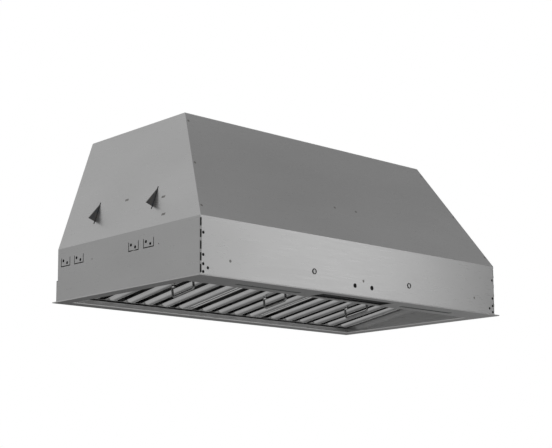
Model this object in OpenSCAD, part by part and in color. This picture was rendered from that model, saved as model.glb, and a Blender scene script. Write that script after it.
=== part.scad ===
// Range hood insert: a stainless liner with a built-in blower that is pushed up into a cabinet hood.
// Right is +X, the back is +Y and up is +Z. The origin is the middle of the rim's underside.

/* [Body] */
// Width of the body across the lower band
body_w = 873; // [820:1:950]
// Depth of the body from front band to back panel
body_d = 476; // [450:1:520]
// Height of the straight lower band
band_h = 115; // [112:1:130]
// Height from the underside to the top of the roof
total_h = 361; // [356:1:400]
// How far each side wall leans in by the roof
side_inset = 84; // [70:1:95]
// How far the front wall leans in by the roof
front_inset = 153.5; // [130:0.5:158]
// Thickness of the stainless sheet
sheet = 1; // [0.8:0.1:1.2]
// Width of the side walls' joining flanges
join_w = 20; // [16:1:22]
// Width of the flanges under the roof
top_flange_w = 15; // [12:1:18]
// Width of the side walls' feet on the rim
side_foot_w = 9; // [6:0.5:9.5]
// Width of the front wall's foot on the rim
front_foot_w = 6.5; // [5:0.5:7]
// Relief between flanges that meet in a corner
relief = 2; // [1:0.5:3]

/* [Rim] */
// How far the rim reaches past the walls
overhang = 8; // [7:0.5:14]
// Thickness of the rim plate and its lip
rim_t = 1.2; // [1:0.1:1.4]
// Width of the hemmed edge
hem_w = 3.2; // [2.8:0.1:3.4]
// Width of the rim in front of the opening
rim_front_w = 74; // [72:1:80]
// Width of the rim beside the opening
rim_side_w = 30.5; // [29:0.5:34]
// Width of the rim behind the opening
rim_rear_w = 32; // [31:0.5:34]
// Height of the lip around the opening
lip_h = 6; // [4:0.5:7]
// Radius of the fold along the opening
fold_r = 2.2; // [1.5:0.1:2.4]

/* [Rear rail] */
// Depth of the stiffening rail on the back
rail_depth = 4.5; // [3:0.5:4.5]
// Height of the rail's top edge
rail_top = 48; // [40:1:55]

/* [Front band] */
// Diameter of the pilot holes near the corners
pilot_d = 4.8; // [3:0.1:5]
// Distance of the outer pilot holes from the side
pilot_inset = 6.4; // [5.5:0.1:8]
// Distance of the lone inner pilot hole from the side
pilot_inner_inset = 17.5; // [14:0.5:22]
// Height of the lone inner pilot hole
pilot_inner_z = 16.4; // [12:0.5:20]
// Heights of the outer pilot holes
pilot_zs = [8.3, 22.9, 40.3, 82.2];
// Distance of each ringed rivet from the middle
rivet_x = 142.3; // [120:0.5:180]
// Height of the ringed rivets
rivet_z = 40.3; // [30:0.5:50]
// Diameter of the ringed rivets
rivet_d = 11.6; // [9:0.2:14]
// Distance of the two small ports from the middle
port_x = 25.3; // [15:0.5:60]
// Height of the two small ports
port_z = 23.4; // [15:0.5:50]
// Diameter of the two small ports
port_d = 5; // [3:0.5:8]
// Number of slits along each front corner
slit_count = 5; // [3:1:6]
// Length of one corner slit
slit_len = 17; // [10:1:17]
// Width of a corner slit
slit_w = 2.4; // [1:0.1:2.6]
// Distance of the first and last slit from the band's ends
slit_margin = 5; // [4:0.5:8]

/* [Fixing tabs] */
// Width of a fixing tab
tab_w = 30; // [24:1:34]
// Height of a fixing tab
tab_h = 18.8; // [16:0.2:22]
// Height of the tab's lower slit
tab_z = 75.1; // [60:0.5:80]
// Width of the slit round a tab
tab_slit = 2; // [1:0.1:2.2]
// Distance between the two tabs of a pair
tab_pitch = 49; // [44:1:60]
// Distance of the rear pair from the back
tab_rear = 53.4; // [50:0.2:60]
// Distance of the front pair from the back
tab_front = 292; // [270:1:310]
// Diameter of the two holes in a tab
tab_hole_d = 6.4; // [4:0.1:6.6]
// Place of the tab's upper hole, along the tab and up from its slit
tab_hole_upper = [8.5, 13];
// Place of the tab's lower hole, along the tab and up from its slit
tab_hole_lower = [-5.4, 7.3];
// Diameter of the two locating holes beside the tabs
locator_d = 2.4; // [2:0.1:4]
// Height of the locating holes
locator_z = 78.2; // [60:0.5:90]
// Distances of the locating holes from the back
locator_backs = [125.6, 349];

/* [Catches] */
// Distance of the rear catches from the back
catch_rear = 110.3; // [95:0.5:120]
// Distance of the front catches from the back
catch_front = 306.6; // [280:1:320]
// How far a catch stands out of the wall
catch_reach = 16.5; // [12:0.5:17]
// Distance of the catch's pivot up the slope
catch_pivot_up = 90; // [85:1:120]
// Length of the ramp along the slope
catch_ramp = 41.2; // [40:0.2:44]
// Depth of the pivot behind the wall's face
catch_pivot_w = 6; // [5:0.5:7]
// Radius of the catch round its pivot
catch_eye_r = 4.7; // [4.2:0.1:4.9]
// Thickness of the catch plate
catch_t = 2; // [1.5:0.1:2.5]
// Depth of the catch behind the wall
catch_tail_w = 9; // [8:0.5:10]
// Length of the nose behind the slot's lower edge
catch_nose = 11.8; // [9:0.2:13]
// Room between the catch and the ends of its slot
catch_end_room = 3; // [2:0.5:4]
// Width of the slot that the catch passes
catch_slot_w = 4; // [3.5:0.1:4.5]
// How far the slot goes on below the shoulder
catch_slot_under = 6.2; // [6:0.1:7]
// Radius of the catch's pivot pin
catch_pin_r = 2; // [1.8:0.1:2.2]
// Thickness of the catch bracket
catch_bracket_t = 1.2; // [1:0.1:1.5]
// Room for the spring between catch and ear
catch_spring_room = 3.6; // [3.4:0.1:4.5]
// Radius of the catch spring's wire
catch_spring_wire = 0.4; // [0.35:0.05:0.4]
// Number of turns in a catch spring
catch_spring_turns = 3; // [2:1:3]

/* [Filters] */
// Tilt of the filters, higher at the front
filter_tilt = 8.92; // [7:0.1:9.5]
// Distance of the filters' hinge line from the back
hinge_from_back = 22; // [20:0.5:22]
// Height of the filters' hinge line
hinge_z = 13.17; // [13:0.01:14]
// Gap between the filters' front edge and the opening
filter_front_gap = 7.7; // [7:0.1:9]
// Gap between the outer filters and the opening
filter_side_gap = 1.8; // [1.5:0.1:3]
// Gap between two filters
filter_gap = 1; // [0.8:0.1:2]
// Length of the filter behind its hinge line
filter_tail = 9.6; // [8:0.1:9.6]
// Thickness of a filter's frame
filter_t = 19; // [18:0.5:20]
// Thickness of the filter sheet
filter_sheet = 0.8; // [0.7:0.1:0.9]
// Width of a filter's side and front strips
strip_w = 9.5; // [8:0.5:11]
// Width of a filter's rear strip
rear_strip_w = 16; // [13:0.5:18]
// Number of slats in each outer filter
side_slats = 6; // [5:1:6]
// Number of slats in the middle filter
centre_slats = 4; // [3:1:5]
// Width of a lower baffle
slat_w = 27.6; // [24:0.2:29]
// Radius of a lower baffle's curve
slat_r = 18; // [17:0.5:20]
// How far the lower baffles bulge below the frame
slat_drop = 5.4; // [4:0.2:5.6]
// Height of a lower baffle's edge flanges
slat_flange = 6.2; // [5:0.2:7]
// Distance from the hinge line to the start of the bulge
bulge_rear = 22; // [21:0.5:28]
// Distance from the front edge to the end of the bulge
bulge_front = 24; // [24:0.5:28]
// Width by which an upper baffle covers each neighbour
upper_cover = 6.4; // [5:0.1:7]
// Radius of an upper baffle's curve
upper_r = 24; // [22:0.5:30]
// Height of an upper baffle's edge flanges
upper_flange = 5.8; // [4:0.2:6]

/* [Filter handles] */
// Radius of the handle's wire
bail_r = 2.5; // [1.8:0.1:2.5]
// Length of the handle between its legs
bail_span = 70; // [60:1:90]
// Depth of the handle's bar below the baffles
bail_drop = 25.5; // [20:0.5:27]
// Depth of the handle's pivot below its baffle
bail_pivot = 2.9; // [2.9:0.1:3.2]
// Radius of the handle's lower bends
bail_bend = 6; // [4:0.5:8]
// Radius of the bend into each foot
bail_foot_bend = 3.2; // [2.8:0.1:4]
// Length of a straight foot in its loop
bail_foot = 7; // [6:0.5:9]
// Length of the loop that carries a foot
loop_len = 5; // [4:0.5:5.5]
// Wall of the loop that carries a foot
loop_wall = 0.8; // [0.7:0.1:1]
// Distance of the handle's middle from the hinge line
bail_place = 196; // [180:1:210]

/* [Liners] */
// Clearance between the lip and the liners
liner_gap = 0.3; // [0.2:0.1:0.5]
// Height of the side liners above the filters
liner_over = 6; // [3:0.5:8]
// Width of the liners' feet
liner_foot_w = 6; // [5:0.5:7]
// Height of the front liner
front_liner_top = 108; // [106:0.5:110]
// Clearance of the filters' tail over the shelf
shelf_gap = 0.38; // [0.3:0.02:0.5]
// Depth of the shelf behind the hinge line
shelf_d = 14; // [13.5:0.5:14]
// Height of the rear liner
rear_liner_top = 36; // [32:1:40]
// Height of the filter springs' middle
spring_z = 87; // [86:0.5:88]
// Thickness of a filter spring
spring_t = 0.5; // [0.4:0.1:0.6]
// Width of a filter spring
spring_w = 18; // [12:1:24]
// Radius of a filter spring's bow
spring_r = 10.6; // [10.3:0.1:10.6]
// Height of a filter spring's foot
spring_foot = 9; // [6:0.5:9]

/* [Controls] */
// Width of the slot for the controls
panel_w = 210; // [180:1:230]
// Depth of the slot for the controls
panel_d = 38; // [32:1:38]
// Distance of the slot from the rim's front edge
panel_edge = 21; // [20:0.5:24]
// Width of the rib that carries the control panel
panel_rib = 3; // [2:0.5:3]
// Height of the panel's face above the rim
panel_recess = 1.8; // [1.5:0.1:2.5]
// Thickness of the control panel
panel_t = 2.5; // [2:0.1:3]
// Radius of a push button
button_r = 3.6; // [3:0.1:4.2]
// Spacing of the push buttons
button_pitch = 12; // [11:0.5:15]
// Height of a button's face above the rim's underside
button_z = 0.9; // [0.6:0.1:1]
// Radius of the collar that keeps a button in
button_collar_r = 4.6; // [4.3:0.1:5]
// Thickness of the button's collar
button_collar_t = 1; // [0.8:0.1:1.2]
// Travel of a push button
button_travel = 1.2; // [0.8:0.1:1.4]
// Depth of the control cover
cover_h = 26; // [22:1:30]
// Thickness of the switch board
board_t = 1.6; // [1.2:0.1:2]
// Height of the posts that carry the switch board
board_post_h = 6; // [5.5:0.1:7]

/* [Lamps] */
// Distance of each lamp slot's outer end from the rim's side edge
lamp_from_side = 124.5; // [110:0.5:130]
// Gap between a lamp slot and the end of the control panel
lamp_gap = 46; // [30:1:60]
// Width of a lamp slot
lamp_w = 12.2; // [10:0.2:14]
// Distance of the lamp's middle from the rim's front edge
lamp_edge = 41.7; // [36:0.1:44]
// Thickness of a lamp lens above the rim
lens_t = 2; // [1.5:0.1:2.5]
// How far a lens laps over its slot
lens_lap = 4; // [3:0.5:5]
// Height of a lamp housing
lamp_h = 16; // [13:0.5:20]
// Number of light points on a strip
lamp_points = 8; // [4:1:12]

/* [Duct] */
// Outer radius of the duct collar
duct_r = 101; // [95:0.5:101.5]
// Height of the collar above the roof
collar_up = 20; // [16:1:24]
// Depth of the collar below the roof
collar_down = 20; // [16:1:24]
// How much narrower the collar is below its flange
collar_step = 0.6; // [0.5:0.1:1]
// Width of the collar's flange
collar_flange_w = 13; // [12:0.5:14]
// Distance of the duct's middle from the back
duct_back = 133; // [130:0.5:136]
// Height of the damper's rod above the roof
rod_up = 5; // [5:0.5:7]
// Radius of the damper's rod
rod_r = 2; // [1.8:0.1:2.2]
// Gap between the flaps and the collar
flap_gap = 2; // [1.5:0.1:3]
// Thickness of a damper flap
flap_t = 0.8; // [0.6:0.1:1]
// Length of one damper knuckle
knuckle_len = 18; // [14:1:20]
// Wall of a damper knuckle
knuckle_wall = 0.9; // [0.8:0.1:1.1]

/* [Blower] */
// Distance of the wheel's axis from the back
wheel_back = 211; // [209:1:214]
// Depth of the wheel's axis below the discharge box
wheel_under = 104; // [101:1:106]
// Radius of the wheel
wheel_r = 75; // [70:0.5:76]
// Width of the wheel
wheel_w = 160; // [150:1:166]
// Number of blades round the wheel
blade_count = 36; // [24:1:40]
// Thickness of a blade
blade_t = 1; // [0.8:0.1:1.2]
// Gap between the wheel and the tongue
tongue_gap = 8; // [6:0.5:10]
// How much the scroll's radius grows to the outlet
scroll_growth = 55; // [50:1:56]
// Width of the scroll
scroll_w = 180; // [174:1:190]
// Thickness of the scroll's sheet
scroll_t = 1.2; // [1:0.1:1.4]
// Distance of the tongue behind the wheel's axis
tongue_y = 18; // [14:1:22]
// Radius of the inlets
inlet_r = 62; // [58:0.5:63]
// Radius of the inlets' rounded mouths
bell_r = 6; // [5:0.5:7]
// Height of the discharge box
box_h = 41; // [39:1:43]
// Room in the discharge box beside the collar
box_room = 3; // [2:0.5:4]
// Width of the flange round the scroll's outlet
outlet_flange_w = 8; // [6:0.5:9]
// Radius of the blower shaft
shaft_r = 4; // [3:0.5:5]
// Radius of the wheel's hub
hub_r = 12; // [10:0.5:16]
// Length of the wheel's hub
hub_len = 24; // [18:1:30]
// Radius of the motor
motor_r = 46; // [40:0.5:48]
// Length of the motor's body
motor_len = 65; // [55:1:75]
// Gap between the cheek and the motor's body
motor_stand = 9; // [7:0.5:12]
// Width of a motor bracket arm
arm_w = 14; // [10:0.5:18]
// Thickness of the motor bracket
arm_t = 2; // [1.5:0.1:2.5]

/* [Wiring box] */
// Distance of the wiring box's middle from the roof's side edge
wiring_from_side = 112.5; // [100:0.5:127]
// Distance of the wiring box's middle from the back
wiring_back = 65; // [60:0.5:75]
// Size of the wiring box
wiring_size = [100, 85, 45];
// Radius of the conduit knock-out
conduit_r = 11.1; // [10:0.1:14]

/* [Fasteners] */
// Radius of a case screw's shank
screw_r = 1.9; // [1.6:0.1:2.1]
// Radius of a case screw's head
screw_head_r = 3.8; // [3.4:0.1:4.2]
// Height of a case screw's head
screw_head_h = 2; // [1.6:0.1:2.2]
// Length of a case screw's shank
screw_len = 8; // [6:0.5:10]
// Clearance round a case screw
screw_gap = 0.2; // [0.1:0.05:0.3]

/* [Fits] */
// Clearance of a turning or sliding fit
running_gap = 0.05; // [0.03:0.01:0.08]
// Clearance of a fixed fit
fixed_gap = 0.02; // [0.01:0.01:0.04]
// Gap between pieces that lie close
seat_gap = 0.3; // [0.2:0.05:0.35]

/* [Hidden] */
$fn = 64;

// How far a cut runs past what it cuts
overrun = 2;
stainless = "#b9bab8";
galvanised = "#a3a7a8";

// Slopes of the upper walls and the underside of the roof
side_slope = atan(side_inset / (total_h - band_h));
front_slope = atan(front_inset / (total_h - band_h));
wall_top = total_h - sheet;
back_y = body_d / 2;
roof_x = body_w / 2 - side_inset;
roof_front = front_inset - body_d / 2;

// Outline of the rim and its opening
rim_x = body_w / 2 + overhang;
rim_y = body_d / 2 + overhang;
opening_x = rim_x - rim_side_w;
opening_front = rim_front_w - rim_y;
opening_rear = rim_y - rim_rear_w;

// The liners stand just outside the lip
liner_x = opening_x + rim_t + liner_gap;
liner_front = opening_front - rim_t - liner_gap;
hinge_y = back_y - hinge_from_back;
shelf_z = hinge_z - filter_tail * sin(filter_tilt) - shelf_gap;
inner_back = back_y - 2 * sheet - seat_gap;

// The baffles share out the opening's width
slat_total = 2 * side_slats + centre_slats;
pitch_room = 2 * opening_x - 2 * filter_side_gap - 2 * filter_gap - 6 * strip_w;
slat_pitch = pitch_room / slat_total;
slat_gap = slat_pitch - slat_w;
side_filter_w = 2 * strip_w + side_slats * slat_pitch;
centre_filter_w = 2 * strip_w + centre_slats * slat_pitch;
left_filter_x = filter_side_gap - opening_x;
centre_filter_x = -centre_filter_w / 2;
right_filter_x = opening_x - filter_side_gap - side_filter_w;
filter_reach = (hinge_y - opening_front - filter_front_gap) / cos(filter_tilt);

// Places along the side walls
tab_ys = [for (pair = [tab_rear, tab_front]) for (side = [-1, 1]) back_y - pair + side * tab_pitch / 2];
locator_ys = [for (distance = locator_backs) back_y - distance];
catch_rear_y = back_y - catch_rear;
catch_front_y = back_y - catch_front;

// Heights of the controls, from the rim up
panel_y = panel_edge + panel_d / 2 - rim_y;
panel_z = rim_t + panel_recess;
panel_top = panel_z + panel_t;
board_z = panel_top + board_post_h;
button_xs = [for (i = [-1.5:1:1.5]) i * button_pitch];
lamp_y = lamp_edge - rim_y;
lamp_len = rim_x - lamp_from_side - panel_w / 2 - lamp_gap;
lamp_mid = rim_x - lamp_from_side - lamp_len / 2;

// Middle of the duct and the damper's rod
duct_y = back_y - duct_back;
duct_inner_r = duct_r - sheet;
rod_z = total_h + rod_up;
flap_r = duct_inner_r - flap_gap;
knuckle_r = rod_r + running_gap + knuckle_wall;
flap_z = rod_z - rod_r - running_gap - flap_t;

// Middle of the wheel and the spiral of the scroll
wheel_y = back_y - wheel_back;
box_z = wall_top - box_h;
wheel_z = box_z - wheel_under;
scroll_r0 = wheel_r + tongue_gap;
tongue_angle = acos(tongue_y / scroll_r0);
outlet_y = scroll_r0 + scroll_growth;
cheek_x = scroll_w / 2;
wiring_x = roof_x - wiring_from_side;
wiring_y = back_y - wiring_back;
wiring_z = wall_top - wiring_size[2];
motor_x = cheek_x + scroll_t + motor_stand;

// Profiles that stand on a plane are drawn flat and pushed along an axis
module along_x(from, to) translate([from, 0, 0]) rotate([90, 0, 90]) linear_extrude(to - from) children();
module along_y(from, to) translate([0, to, 0]) rotate([90, 0, 0]) linear_extrude(to - from) children();
module along_z(from, to) translate([0, 0, from]) linear_extrude(to - from) children();
module block(low, high) translate(low) cube(high - low);
module rectangle(low, high) translate(low) square(high - low);
module rod_along_x(r, from, to) translate([from, 0, 0]) rotate([0, 90, 0]) cylinder(r = r, h = to - from);
module rod_along_y(r, from, to) translate([0, to, 0]) rotate([90, 0, 0]) cylinder(r = r, h = to - from);
module rod_along_z(r, from, to) translate([0, 0, from]) cylinder(r = r, h = to - from);
module ring(outer, inner) difference() { circle(outer); circle(inner); }
module mirrored() mirror([1, 0, 0]) children();
module both_sides() {
    children();
    mirrored() children();
}

function reversed(list) = [for (i = [len(list) - 1:-1:0]) list[i]];
// A band between two lines of points that run the same way
module band(line_a, line_b) polygon(concat(line_a, reversed(line_b)));
function arc(centre, r, from, to, steps) =
    [for (i = [0:steps]) let (a = from + (to - from) * i / steps) centre + r * [cos(a), sin(a)]];

// Front wall seen from the side, at a depth d behind its outer face
function front_y(z, d) = d / cos(front_slope) - body_d / 2 + (z - band_h) * tan(front_slope);
function front_line(d, low, high) = [
    [d - body_d / 2, low],
    [d - body_d / 2, band_h - d * tan(front_slope / 2)],
    [front_y(high, d), high]
];
module front_strip(a, b, low, high) band(front_line(a, low, high), front_line(b, low, high));
module front_outline(d, low, high)
    polygon(concat(front_line(d, low, high), [[back_y - d, high], [back_y - d, low]]));

// Right wall seen from the front, at a depth d behind its outer face
function side_x(z, d) = body_w / 2 - d / cos(side_slope) - (z - band_h) * tan(side_slope);
function side_line(d, low, high) = [
    [body_w / 2 - d, low],
    [body_w / 2 - d, band_h - d * tan(side_slope / 2)],
    [side_x(high, d), high]
];
module side_strip(a, b, low, high) band(side_line(a, low, high), side_line(b, low, high));
module side_outline(d, low, high) {
    line = side_line(d, low, high);
    polygon(concat(line, reversed([for (p = line) [-p[0], p[1]]])));
}
// Distance from the middle of a point at a depth behind the side wall's face
function wall_x(z, d) = z < band_h ? body_w / 2 - d : side_x(z, d);

// Screws through the roof's flanges, the back's flanges and the collar
roof_mid_y = front_y(wall_top, sheet) + top_flange_w / 2;
roof_rear_y = back_y - sheet - top_flange_w / 2;
roof_screw_x_shares = [-0.7, 0, 0.7];
side_screw_y_shares = [0.25, 0.75];
back_screw_z_shares = [0.18, 0.48, 0.8];
collar_screw_count = 6;
roof_screw_places = concat(
    [for (s = roof_screw_x_shares) for (y = [roof_mid_y, roof_rear_y]) [s * roof_x, y]],
    [for (s = side_screw_y_shares) for (side = [-1, 1])
        [side * (side_x(wall_top, sheet) - top_flange_w / 2), roof_front + s * (back_y - roof_front)]]
);
back_screw_places = [for (s = back_screw_z_shares) for (side = [-1, 1])
    [side * wall_x(s * total_h, sheet + join_w / 2), s * total_h]];
collar_screw_places = [for (i = [0:collar_screw_count - 1]) let (a = (i + 0.5) * 360 / collar_screw_count)
    [0, duct_y] + (duct_r + collar_flange_w / 2) * [cos(a), sin(a)]];
screw_hole_r = screw_r + screw_gap;
module upright_holes(places, low, high)
    for (p = places) translate([p[0], p[1], 0]) rod_along_z(screw_hole_r, low, high);

// Casing

module corner_slits() {
    step = (band_h - 2 * slit_margin - slit_len) / (slit_count - 1);
    for (i = [0:slit_count - 1]) let (z = slit_margin + i * step + rim_t)
        both_sides() block([body_w / 2 - slit_w, -body_d / 2 - overrun, z],
            [body_w / 2 + overrun, slit_w - body_d / 2, z + slit_len - rim_t]);
}

module front_hole(x, z, r) translate([x, 0, z]) rod_along_y(r, -body_d / 2 - overrun, overrun - body_d / 2);

module front_panel() color(stainless) difference() {
    y = sheet - body_d / 2;
    foot_x = body_w / 2 - sheet - join_w - relief;
    top_x = side_x(wall_top, sheet) - join_w - relief;
    top_y = front_y(wall_top, sheet);
    union() {
        intersection() {
            along_x(-body_w / 2, body_w / 2) front_strip(0, sheet, rim_t, wall_top);
            along_y(-body_d, body_d) side_outline(0, rim_t - overrun, wall_top + overrun);
        }
        block([-foot_x, y - sheet / 2, rim_t], [foot_x, y + front_foot_w, rim_t + sheet]);
        along_x(-top_x, top_x) polygon([
            [front_y(wall_top - sheet, sheet / 2), wall_top - sheet],
            [front_y(wall_top, sheet / 2), wall_top],
            [top_y + top_flange_w, wall_top], [top_y + top_flange_w, wall_top - sheet]
        ]);
    }
    corner_slits();
    both_sides() {
        for (z = pilot_zs) front_hole(body_w / 2 - pilot_inset, z, pilot_d / 2);
        front_hole(body_w / 2 - pilot_inner_inset, pilot_inner_z, pilot_d / 2);
        front_hole(rivet_x, rivet_z, screw_hole_r);
        front_hole(port_x, port_z, port_d / 2);
    }
    upright_holes(roof_screw_places, wall_top - 2 * sheet, wall_top + overrun);
}

// Stands on the right wall's slope: x points out of the wall, z up the slope from the fold
module on_slope(y) translate([body_w / 2, y, band_h]) rotate([0, -side_slope, 0]) children();

module fixing_tab_cut(y) {
    along_x(body_w / 2 - 2 * sheet, body_w / 2 + overrun) translate([y, tab_z]) {
        difference() {
            rectangle([-tab_w / 2 - tab_slit, 0], [tab_w / 2 + tab_slit, tab_h]);
            rectangle([-tab_w / 2, tab_slit], [tab_w / 2, tab_h + overrun]);
        }
        for (place = [tab_hole_upper, tab_hole_lower]) translate(place) circle(tab_hole_d / 2);
    }
}

module side_panel() color(stainless) difference() {
    inner_x = body_w / 2 - sheet;
    top_x = side_x(wall_top, sheet);
    front_top_y = front_y(wall_top, 2 * sheet) + relief;
    rear_y = back_y - 2 * sheet;
    union() {
        intersection() {
            along_y(-body_d / 2, back_y - sheet) side_strip(0, sheet, rim_t, wall_top);
            along_x(0, body_w) front_outline(sheet, rim_t - overrun, wall_top + overrun);
        }
        intersection() {
            along_x(0, body_w) front_strip(sheet, 2 * sheet, rim_t, wall_top);
            along_y(-body_d, body_d)
                side_strip(sheet / 2, sheet + join_w, rim_t - overrun, wall_top + overrun);
        }
        along_y(rear_y, back_y - sheet) side_strip(sheet / 2, sheet + join_w, rim_t, wall_top);
        block([inner_x - side_foot_w, 2 * sheet - body_d / 2 + relief, rim_t],
            [inner_x + sheet / 2, rear_y - relief, rim_t + sheet]);
        along_y(front_top_y, rear_y - relief) polygon([
            [side_x(wall_top - sheet, sheet / 2), wall_top - sheet], [side_x(wall_top, sheet / 2), wall_top],
            [top_x - top_flange_w, wall_top], [top_x - top_flange_w, wall_top - sheet]
        ]);
    }
    corner_slits();
    for (y = tab_ys) fixing_tab_cut(y);
    for (y = locator_ys) translate([0, y, locator_z])
        rod_along_x(locator_d / 2, body_w / 2 - 2 * sheet, body_w / 2 + overrun);
    for (y = [catch_front_y, catch_rear_y]) on_slope(y)
        block([-2 * sheet, -catch_slot_w / 2, catch_pivot_up - catch_ramp - catch_slot_under],
            [overrun, catch_slot_w / 2, catch_pivot_up + catch_end_room]);
    for (hole = pilot_zs) front_hole(body_w / 2 - pilot_inset, hole, pilot_d / 2);
    front_hole(body_w / 2 - pilot_inner_inset, pilot_inner_z, pilot_d / 2);
    upright_holes(roof_screw_places, wall_top - 2 * sheet, wall_top + overrun);
    for (p = back_screw_places) translate([p[0], 0, p[1]])
        rod_along_y(screw_hole_r, rear_y - overrun, back_y);
}

module back_panel() color(stainless) difference() {
    y = back_y - sheet;
    foot_x = body_w / 2 - sheet - join_w - relief;
    top_x = side_x(wall_top, sheet) - join_w - relief;
    union() {
        along_y(y, back_y) side_outline(0, rim_t, wall_top);
        block([-foot_x, y - side_foot_w, rim_t], [foot_x, y + sheet / 2, rim_t + sheet]);
        block([-top_x, y - top_flange_w, wall_top - sheet], [top_x, y + sheet / 2, wall_top]);
    }
    upright_holes(roof_screw_places, wall_top - 2 * sheet, wall_top + overrun);
    for (p = back_screw_places) translate([p[0], 0, p[1]])
        rod_along_y(screw_hole_r, y - overrun, back_y + overrun);
}

module roof_panel() color(stainless) difference() {
    along_z(wall_top, total_h) rectangle([-roof_x, roof_front], [roof_x, back_y]);
    translate([0, duct_y, 0]) rod_along_z(duct_r + seat_gap, wall_top - overrun, total_h + overrun);
    translate([wiring_x, wiring_y, 0]) rod_along_z(conduit_r, wall_top - overrun, total_h + overrun);
    upright_holes(concat(roof_screw_places, collar_screw_places), wall_top - overrun, total_h + overrun);
}

// A channel along the foot of the back wall, open towards it
module rear_rail() color(stainless) along_x(-body_w / 2, body_w / 2) difference() {
    rectangle([back_y, rim_t], [back_y + rail_depth, rail_top]);
    rectangle([back_y - overrun, rim_t + sheet], [back_y + rail_depth - sheet, rail_top - sheet]);
}

// Rim seen from below, with a rounded hem outside and a turned-up lip inside

fold_steps = 6;
// The rim's profile from edge to edge, rounded at both hems
module hemmed(half) polygon(concat(
    arc([rim_t - half, rim_t], rim_t, 270, 90, fold_steps),
    arc([half - rim_t, rim_t], rim_t, 90, -90, fold_steps)
));
// The opening's profile between two walls, flared over the fold below
module flared(low, high) polygon(concat(
    [[low, lip_h + overrun]], arc([low - fold_r, fold_r], fold_r, 0, -90, fold_steps),
    [[low - fold_r, -overrun], [high + fold_r, -overrun]],
    arc([high + fold_r, fold_r], fold_r, 270, 180, fold_steps), [[high, lip_h + overrun]]
));
module opening(grow)
    rectangle([-opening_x - grow, opening_front - grow], [opening_x + grow, opening_rear + grow]);

module rim_frame() color(stainless) difference() {
    union() {
        difference() {
            intersection() {
                along_x(-rim_x - overrun, rim_x + overrun) hemmed(rim_y);
                along_y(-rim_y - overrun, rim_y + overrun) hemmed(rim_x);
            }
            block([hem_w - rim_x, hem_w - rim_y, rim_t], [rim_x - hem_w, rim_y - hem_w, 2 * rim_t + overrun]);
        }
        along_z(rim_t / 2, lip_h) opening(rim_t);
    }
    intersection() {
        along_x(-rim_x, rim_x) flared(opening_front, opening_rear);
        along_y(-rim_y, rim_y) flared(-opening_x, opening_x);
    }
    along_z(-overrun, rim_t + overrun) translate([0, panel_y])
        square([panel_w, panel_d], center = true);
    both_sides() along_z(-overrun, rim_t + overrun) translate([lamp_mid, lamp_y])
        square([lamp_len, lamp_w], center = true);
}

// Liner walls between the rim and the casing

function liner_z(y) = hinge_z + (hinge_y - y) * tan(filter_tilt) + (filter_t + liner_over) / cos(filter_tilt);

module side_liner() color(stainless) {
    rear = hinge_y + shelf_d - sheet;
    out = body_w / 2 - sheet - seat_gap;
    top = [[liner_front, liner_z(liner_front)], [rear, liner_z(rear)]];
    along_x(liner_x, liner_x + sheet) polygon(concat(
        [[liner_front, rim_t], [hinge_y, rim_t], [hinge_y, shelf_z], [rear, shelf_z]], reversed(top)
    ));
    along_x(liner_x, out) band(top, [for (p = top) p - [0, sheet]]);
    block([liner_x, liner_front, rim_t], [liner_x + sheet + liner_foot_w, hinge_y, rim_t + sheet]);
}

// Ends of the front and rear liners, and of their feet, which stop short of the side walls' feet
liner_end = body_w / 2 - sheet - seat_gap;
foot_end_x = body_w / 2 - sheet - side_foot_w - relief;
module rear_liner() color(stainless) {
    rear = hinge_y + shelf_d;
    along_x(-liner_end, liner_end) polygon([
        [hinge_y, rim_t], [hinge_y + sheet, rim_t], [hinge_y + sheet, shelf_z - sheet],
        [rear, shelf_z - sheet],
        [rear, rear_liner_top - sheet], [inner_back, rear_liner_top - sheet], [inner_back, rear_liner_top],
        [rear - sheet, rear_liner_top], [rear - sheet, shelf_z], [hinge_y, shelf_z]
    ]);
    block([-foot_end_x, hinge_y + sheet / 2, rim_t], [foot_end_x, hinge_y + liner_foot_w, rim_t + sheet]);
}

module front_liner() color(stainless) {
    front = 2 * sheet + seat_gap - body_d / 2;
    along_x(-liner_end, liner_end) polygon([
        [liner_front, rim_t], [liner_front - sheet, rim_t], [liner_front - sheet, front_liner_top - sheet],
        [front, front_liner_top - sheet], [front, front_liner_top], [liner_front, front_liner_top]
    ]);
    block([-foot_end_x, liner_front - liner_foot_w, rim_t],
        [foot_end_x, liner_front - sheet / 2, rim_t + sheet]);
}

// A bowed leaf that presses on the filter's front edge, with a flat foot on the liner
module filter_spring(x) along_x(x - spring_w / 2, x + spring_w / 2) translate([liner_front, spring_z]) {
    bow_angle = 80;
    bow_steps = 12;
    tip = spring_r * sin(bow_angle);
    translate([(spring_t - spring_r) * cos(bow_angle), 0]) band(
        arc([0, 0], spring_r, -bow_angle, bow_angle, bow_steps),
        arc([0, 0], spring_r - spring_t, -bow_angle, bow_angle, bow_steps)
    );
    rectangle([0, tip - spring_t], [spring_t, tip + spring_foot]);
}

module filter_springs() color("#8f9497") {
    quarter_shares = [0.25, 0.75];
    for (s = quarter_shares) {
        filter_spring(left_filter_x + s * side_filter_w);
        filter_spring(centre_filter_x + s * centre_filter_w);
        filter_spring(right_filter_x + s * side_filter_w);
    }
}

// Controls

board_x = panel_w / 2 - 2 * panel_rib;
board_y = panel_d / 2 - 2 * panel_rib;
post_r = panel_rib;
module on_panel() translate([0, panel_y, 0]) children();
module board_posts(r, low, high)
    for (x = [-1, 1]) for (y = [-1, 1])
        translate([x * (board_x - post_r), y * (board_y - post_r), 0]) rod_along_z(r, low, high);

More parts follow.
